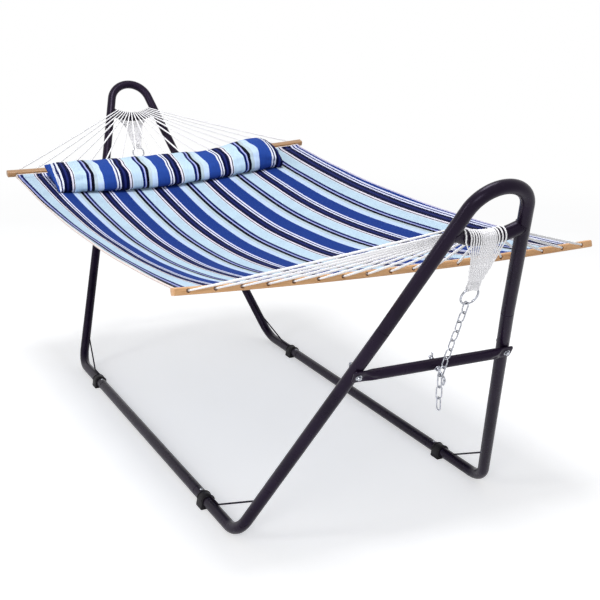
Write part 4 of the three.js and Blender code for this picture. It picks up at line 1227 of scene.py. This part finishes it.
def bed_surface(x, y, top):
    """Upper or lower face of the bed, with the pulls of the ropes in its hems."""
    out = np.abs(x) - HEM_X
    depth = np.clip(-out, 0, None)
    pull = np.exp(-depth / 75.0) * smooth(depth / 26.0)
    side = 1 - smooth((np.abs(y) - 560) / 100)
    ripple = (1.5 * np.cos(2 * np.pi * (y / HOLE_PITCH + 0.5)) * pull
              * (0.65 + 0.35 * np.sin(y * 0.013 + np.sign(x) * 1.3)) * side)
    ease = 1.1 * np.sin(x * 0.011 + 1.3 * np.sin(y * 0.006)) * np.sin(y * 0.008 + x * 0.003)
    seam = 1.2 * np.exp(-((out + HEM_RUN - 4) / 2.6) ** 2)
    offset = np.interp(out, *zip(*HEM_PROFILE)) / 2 - seam
    middle = bed_middle_z(np.clip(x, -HEM_X, HEM_X), y) + ripple + ease * smooth(depth / 200)
    return middle + (offset if top else -offset)


def arc_across(x, count=120):
    """Length across the cloth from its middle line to each y, at one x."""
    y = np.linspace(-BED_HALF_WIDTH, BED_HALF_WIDTH, 2 * count + 1)
    z = bed_middle_z(np.full_like(y, np.clip(x, -HEM_X, HEM_X)), y)
    arc = np.concatenate([[0], np.cumsum(np.hypot(np.diff(y), np.diff(z)))])
    return y, arc - arc[count]


STRIPE_ORIGIN = -33.0        # a royal stripe's far edge, across from the middle line
# The cloth is eased in along its edges: place across the bed, and on the cloth as it was woven.
STRIPE_STRETCH = (
    (-700, -733), (-672, -697), (-663, -685.3), (-655, -678.8), (-642.5, -667.3), (-596, -618.8),
    (-563, -577), (-543, -556.3), (-497, -500.2), (-462, -463.5), (-420, -420),
    (480, 480), (555, 547), (619, 591), (650, 613.7), (700, 648))
EDGE_R = BED_THICK / 2
BINDING = (3.0, 13.0)          # width of the tape over the near and the far long edge


def edging(y):
    """Material number at a place across the bed: cloth, near tape or far tape."""
    return np.where(y < BINDING[0] - BED_HALF_WIDTH, 1, np.where(y > BED_HALF_WIDTH - BINDING[1], 2, 0))


HEM_ROWS = np.array([          # where the mesh has its rows at a hem, in mm past the hem rod
    11, 10, 8, 5, 2, -1, -4, -7, -10, -13, -16, -19, -22, -25, -28, -31, -33.5, -35, -36, -37.5, -40,
    -44, -50, -58, -68, -80])
EDGE_COLUMNS = np.array([5, 6.2, 7.5, 9, 11, 12.6, 13.4, 15, 20, 28])      # in mm from a long edge


def bed_row(x, ys, rounding):
    """One closed row of the sheet: its upper face, far edge, lower face and near edge."""
    half, proud_r = BED_HALF_WIDTH - EDGE_R, EDGE_R + 0.3
    scallop = 2.2 * (0.5 - 0.5 * np.cos(2 * np.pi * (ys / HOLE_PITCH + 0.5)))
    px = x - np.sign(x) * (scallop * smooth((np.abs(x) - HEM_X + 6) / 17))
    # Binding: a slightly proud roll round each long edge.
    swell = 0.7 * smooth((np.abs(ys) - BED_HALF_WIDTH + np.where(ys < 0, *BINDING)) / 1.2)
    top, bottom = bed_surface(px, ys, True) + swell, bed_surface(px, ys, False) - swell

    def edge(k, side):
        middle, thick = (top[k] + bottom[k]) / 2, (top[k] - bottom[k]) / 2
        return [(px[k], side * (half + proud_r * math.cos(a)), middle - side * thick * math.sin(a))
                for a in rounding]
    return [*zip(px, ys, top), *edge(-1, 1), *zip(px[::-1], ys[::-1], bottom[::-1]), *edge(0, -1)]


def place_on_cloth(x, row):
    """Where a row's points lie on the flat cloth, in metres."""
    across = np.interp([y for _, y, _ in row], *arc_across(x))
    drift = 6.0 * smooth((x + 100) / 350)
    across = np.interp(across, *zip(*STRIPE_STRETCH)) - STRIPE_ORIGIN - drift
    return np.stack([across / 1000, np.full(len(row), x / 1000), np.zeros(len(row))], -1)


def make_bed():
    edge = BED_HALF_WIDTH - EDGE_COLUMNS
    ys = np.concatenate([-edge, np.linspace(-628, 628, 158), edge[::-1]])
    hem = HEM_X + HEM_ROWS
    xs = np.concatenate([hem, np.linspace(HEM_X - 95, -HEM_X + 95, 108), -hem[::-1]])
    rounding = np.linspace(-0.5, 0.5, 7)[1:-1] * np.pi
    rows = [bed_row(x, ys, rounding) for x in xs]
    cloth = np.concatenate([place_on_cloth(x, row) for x, row in zip(xs, rows)])
    rows = np.array(rows)
    count, n, m = rows.shape[1], len(ys), len(rounding)
    faces = grid_faces(len(xs), count)
    across, along = rows[0][:, 1], rows[:-1][:, :, 0].reshape(-1)
    kind = edging((across[faces[:, 0] % count] + across[faces[:, 1] % count]) / 2)
    kind[(along > HEM_X + 3) | (along < 9 - HEM_X)] = 1
    # End faces: strips between the upper and the lower row, and one face in each rounded edge.
    ends, end_kind = [], []
    for base, flip in ((0, False), ((len(xs) - 1) * count, True)):
        upper, lower = base + np.arange(n), base + 2 * n + m - 1 - np.arange(n)
        strips = np.stack([upper[:-1], lower[:-1], lower[1:], upper[1:]], -1)
        far = np.array([upper[-1], *(base + n + np.arange(m)), lower[-1]])
        near = np.array([lower[0], *(base + 2 * n + m + np.arange(m)), upper[0]])
        ends += [*(strips[:, ::-1] if flip else strips), *(f if flip else f[::-1] for f in (far, near))]
        end_kind += [1] * (n - 1) + [2, 1]
    soup = Soup().add(outward_faces((rows.reshape(-1, 3), [*faces, *ends])), cloth=cloth)
    soup.material = [*kind, *end_kind]
    sheet = build("fabric_bed_cloth", soup, [CLOTH, BEIGE_BINDING, LILAC_BINDING],
                  nodes=("fabric_bed",), sharp=0)
    stitches = make_stitching()


STITCH, STITCH_GAP, STITCH_R = 4.2, 1.9, 0.42
# Along a stitch: share of its length, height over the cloth and share of its thickness.
STITCH_FORM = np.array([
    (0.0, -0.35, 0.5), (0.2, 0.12, 1.0), (0.5, 0.25, 1.0), (0.8, 0.12, 1.0), (1.0, -0.35, 0.5)])


def stitch_line(soup, xs, ys, lift):
    """Row of short stitches along a line on the cloth."""
    path = np.stack([xs, ys, bed_surface(xs, ys, True) + lift], -1)
    dense, arc = resample(path, 1.0)
    places, height, thick = STITCH_FORM.T
    for start in np.arange(0.5, arc[-1] - STITCH, STITCH + STITCH_GAP):
        at = start + STITCH * places
        points = np.stack([np.interp(at, arc, dense[:, k]) for k in range(3)], -1)
        points[:, 2] += height
        soup.add(sweep(points, circle(1, 5), STITCH_R * thick))


def make_stitching():
    soup = Soup()
    for side, inset in ((-1, 8.0), (1, 11.0)):
        xs = np.linspace(-HEM_X + 4, HEM_X - 4, 400)
        stitch_line(soup, xs, np.full_like(xs, side * (BED_HALF_WIDTH - inset)), 0.75)
    for end, _ in ENDS:
        for out in (HEM_RUN - 1.5, HEM_RUN - 6.5):
            ys = np.linspace(-BED_HALF_WIDTH + 16, BED_HALF_WIDTH - 16, 420)
            stitch_line(soup, np.full_like(ys, end * (HEM_X - out)), ys, 0.1)
    return build("bed_stitching", soup, [THREAD], body="bed", sharp=0)


# ---------------------------------------------------------------- pillow
PILLOW_SHRINK = 8.0
# Its fullness along its length: place across the bed, and share of its full thickness.
PILLOW_FULLNESS = (
    (-563, 0.80), (-430, 0.80), (-300, 0.82), (-90, 0.83), (0, 0.78), (90, 0.71), (170, 0.71),
    (240, 0.82), (300, 0.93), (360, 1.04), (455, 1.10))


def pillow_form(long_steps=110, round_steps=64):
    """Soft bolster, flat where it lies on the bed, with its near end drawn to a slanting seam."""
    rings = []
    for i in range(long_steps + 1):
        t = math.sin(math.pi / 2 * (-1 + 2 * i / long_steps))
        y = PILLOW_Y + (PILLOW_LENGTH / 2 + 5) * t
        swell = max(0.6, (1 - abs(t) ** 40) ** 0.5) * np.interp(y, *zip(*PILLOW_FULLNESS))
        half = (PILLOW_WIDTH / 2 - PILLOW_SHRINK) * (0.97 + 0.03 * min(1, swell))
        half += 4 * smooth((abs(t) - 0.93) / 0.07)
        drawn = smooth((-t - 0.9) / 0.1)
        ring = []
        for a in round_angles(round_steps, 0.5):
            across, rise = math.cos(a), math.sin(a)
            x = PILLOW_X + half * across
            belly = (PILLOW_SEAM + (1 - PILLOW_SEAM) * rise ** 0.8 if rise > 0
                     else PILLOW_SEAM * (1 - abs(rise) ** 0.45))
            full = (PILLOW_THICK - PILLOW_SHRINK) * swell * belly
            seam = max(1.0, lerp(58.0, 11.0, (1 + across) / 2) + 10.0 * rise)
            ring.append((x, y, bed_middle_z(x, y) + BED_THICK / 2 + 1.2 + lerp(full, seam, drawn)))
        rings.append(ring)
    return outward_faces(capped(rings))


PILLOW_STRIPE_ORIGIN, PILLOW_STRIPE_END = -103.5, 451
PILLOW_VOXEL, PILLOW_REACH, PILLOW_FRAMES = 0.0055, 0.012, 20
PILLOW_CLOTH_SETTINGS = dict(
    quality=5, mass=0.25, use_pressure=True, uniform_pressure_force=4.0, tension_stiffness=12,
    compression_stiffness=8, shear_stiffness=4, bending_stiffness=0.25)


def make_pillow():
    soup = Soup().add(pillow_form())
    pad = build("pillow_cover", soup, [PILLOW_CLOTH], nodes=("pillow",), sharp=0)
    remesh = pad.modifiers.new("even", "REMESH")
    remesh.mode, remesh.voxel_size = "VOXEL", PILLOW_VOXEL
    apply_all(pad)
    inflate(pad)
    finer = pad.modifiers.new("finer", "SUBSURF")
    finer.levels = finer.render_levels = 1
    apply_all(pad)
    set_down(pad.data, pillow_folds(positions(pad.data) * 1000, pad.data) / 1000)
    add_layer(pad.data, "cloth", place_on_cover(positions(pad.data)))
    shade(pad.data, 0)


def inflate(pad):
    """Fills the cover in a cloth simulation, no point moving further than its reach."""
    before = positions(pad.data)
    loose = pad.modifiers.new("cloth", "CLOTH")
    for name, value in PILLOW_CLOTH_SETTINGS.items():
        setattr(loose.settings, name, value)
    loose.settings.effector_weights.gravity = 0
    loose.collision_settings.use_collision = False
    loose.point_cache.frame_start, loose.point_cache.frame_end = 1, PILLOW_FRAMES
    for frame_number in range(1, PILLOW_FRAMES + 1):
        bpy.context.scene.frame_set(frame_number)
    apply_all(pad)
    bpy.context.scene.frame_set(1)
    move = positions(pad.data) - before
    size = np.linalg.norm(move, axis=1, keepdims=True)
    set_down(pad.data, before + move * np.minimum(1, PILLOW_REACH / np.maximum(size, 1e-9)))


def place_on_cover(p):
    """Where points of the pillow lie on its striped cover, in metres."""
    x, y = p[:, 0] * 1000, p[:, 1] * 1000
    slip = (2.6 * np.sin(x * 0.034 + y * 0.023)
            + 1.8 * np.sin(x * 0.062 - y * 0.037 + 1.4 * np.sin(y * 0.013)))
    inner = smooth((y + 540) / 160) * smooth((430 - y) / 160)
    near_end, far_end = smooth((-330 - y) / 200), smooth((y - 250) / 200)
    skew = lerp(10.0, -2.0, smooth((PILLOW_X + 110 - x) / 240))
    across = (slip * inner - np.minimum(y, PILLOW_STRIPE_END) - PILLOW_STRIPE_ORIGIN
              - skew * near_end + 9.0 * far_end) / 1000
    return np.stack([across, p[:, 0], 0 * across], -1)


def pillow_folds(p, mesh):
    """Soft puckers that run in from the sewn ends, and the dents of an uneven filling."""
    x, y, z = p.T
    from_end = PILLOW_LENGTH / 2 - np.abs(y - PILLOW_Y)
    round_angle = np.arctan2(z - (bed_middle_z(x, y) + 48), x - PILLOW_X)
    pucker = 0.9 * np.exp(-((from_end - 14) / 26) ** 2) * np.sin(round_angle * 15 + 0.02 * y)
    dents = (2.2 * np.sin(y * 0.021 + 0.7) * np.sin(x * 0.019 + y * 0.006)
             + 1.2 * np.sin(y * 0.053 + 2.0 * np.sin(x * 0.015)))
    normals = vectors(mesh, "normal")
    return p + normals * (pucker + dents * smooth(from_end / 60))[:, None]


def set_down(mesh, p):
    """Writes the points, none of them below the bed's upper face."""
    floor = bed_middle_z(p[:, 0] * 1000, p[:, 1] * 1000) + BED_THICK / 2 + 0.9
    p[:, 2] = np.maximum(p[:, 2], floor / 1000)
    mesh.vertices.foreach_set("co", p.astype(np.float32).ravel())
    mesh.update()


def vectors(mesh, field):
    v = np.empty(len(mesh.vertices) * 3, np.float32)
    mesh.vertices.foreach_get(field, v)
    return v.reshape(-1, 3)


def positions(mesh):
    return vectors(mesh, "co").astype(float)


# ---------------------------------------------------------------- studio
WHITE, SKY, SKY_STRENGTH = (1, 1, 1, 1), (0.97, 0.98, 1.0, 1), 0.46
FLOOR_HALF, FLOOR_GLOW, FLOOR_FADE = 60.0, 0.44, (2.2, 6.0)


def make_floor():
    """White ground that takes soft shadows near the hammock and fades to bare white."""
    look = Look("floor")
    look.tree.nodes.remove(look.shader)
    pale = look.mix(look.spread(look.noise(3, 2), 0, 1), (0.83, 0.83, 0.83, 1), (0.86, 0.86, 0.86, 1))
    plain = look.node("BsdfDiffuse", {"Color": pale}).outputs[0]
    glow = look.node("Emission", {"Color": WHITE, "Strength": FLOOR_GLOW}).outputs[0]
    bare = look.node("Emission", {"Color": WHITE, "Strength": 1.0}).outputs[0]
    lit = look.node("AddShader", {0: plain, 1: glow}).outputs[0]
    away = look.node("VectorMath", {0: look.place}, operation="LENGTH").outputs["Value"]
    fade = look.node("MapRange", {"Value": away, "From Min": FLOOR_FADE[0], "From Max": FLOOR_FADE[1]},
                     interpolation_type="SMOOTHSTEP").outputs["Result"]
    seen = look.node("MixShader", {0: fade, 1: lit, 2: bare}).outputs[0]
    final = look.node("MixShader", {0: look.seen_directly(), 1: plain, 2: seen}).outputs[0]
    look.feed(look.tree.nodes["Material Output"].inputs["Surface"], final)
    mesh = bpy.data.meshes.new("floor")
    corners = [(FLOOR_HALF * x, FLOOR_HALF * y, 0) for x, y in ((-1, -1), (1, -1), (1, 1), (-1, 1))]
    mesh.from_pydata(corners, [], [(0, 1, 2, 3)])
    mesh.materials.append(look.material)
    add_object("floor", mesh)


def make_world():
    """Soft light all round; seen directly, it is bare white."""
    world = bpy.data.worlds.new("studio")
    bpy.context.scene.world = world
    world.use_nodes = True
    sky = Nodes(world.node_tree)
    soft = sky.tree.nodes["Background"]
    sky.feed(soft.inputs["Color"], SKY)
    sky.feed(soft.inputs["Strength"], SKY_STRENGTH)
    bright = sky.node("Background", {"Color": WHITE}).outputs[0]
    seen = sky.node("MixShader", {0: sky.seen_directly(), 1: soft.outputs[0], 2: bright}).outputs[0]
    sky.feed(sky.tree.nodes["World Output"].inputs["Surface"], seen)


LAMPS = (                      # name, place, where it points, size and watts
    ("overhead", (0.4, -0.4, 4.2), (0, 0, 0.6), (1.8, 1.5), 98),
    ("front_fill", (4.6, -3.4, 2.6), (0, 0, 0.6), (1.7, 1.5), 66),
    ("side_fill", (0.6, -4.8, 2.0), (0.6, 0, 0.6), (0.5, 2.4), 46))


def make_lamps():
    for name, at, toward, size, watts in LAMPS:
        data = bpy.data.lights.new(name, "AREA")
        data.shape, data.size, data.size_y = "RECTANGLE", *size
        data.energy = watts
        out = unit(vec(*at) - vec(*toward))
        side = unit(np.cross(Z if abs(out[2]) < 0.95 else X, out))
        up = np.cross(out, side)
        add_object(name, data).matrix_world = Matrix([
            (side[i], up[i], out[i], at[i]) for i in range(3)] + [(0, 0, 0, 1)])


make_stand()
for end, name in ENDS:
    spreader_bar(end, name)
    make_ropes(end, name)
make_bed()
make_pillow()
make_floor()
make_world()
make_lamps()
bpy.context.scene.view_settings.view_transform = "Standard"
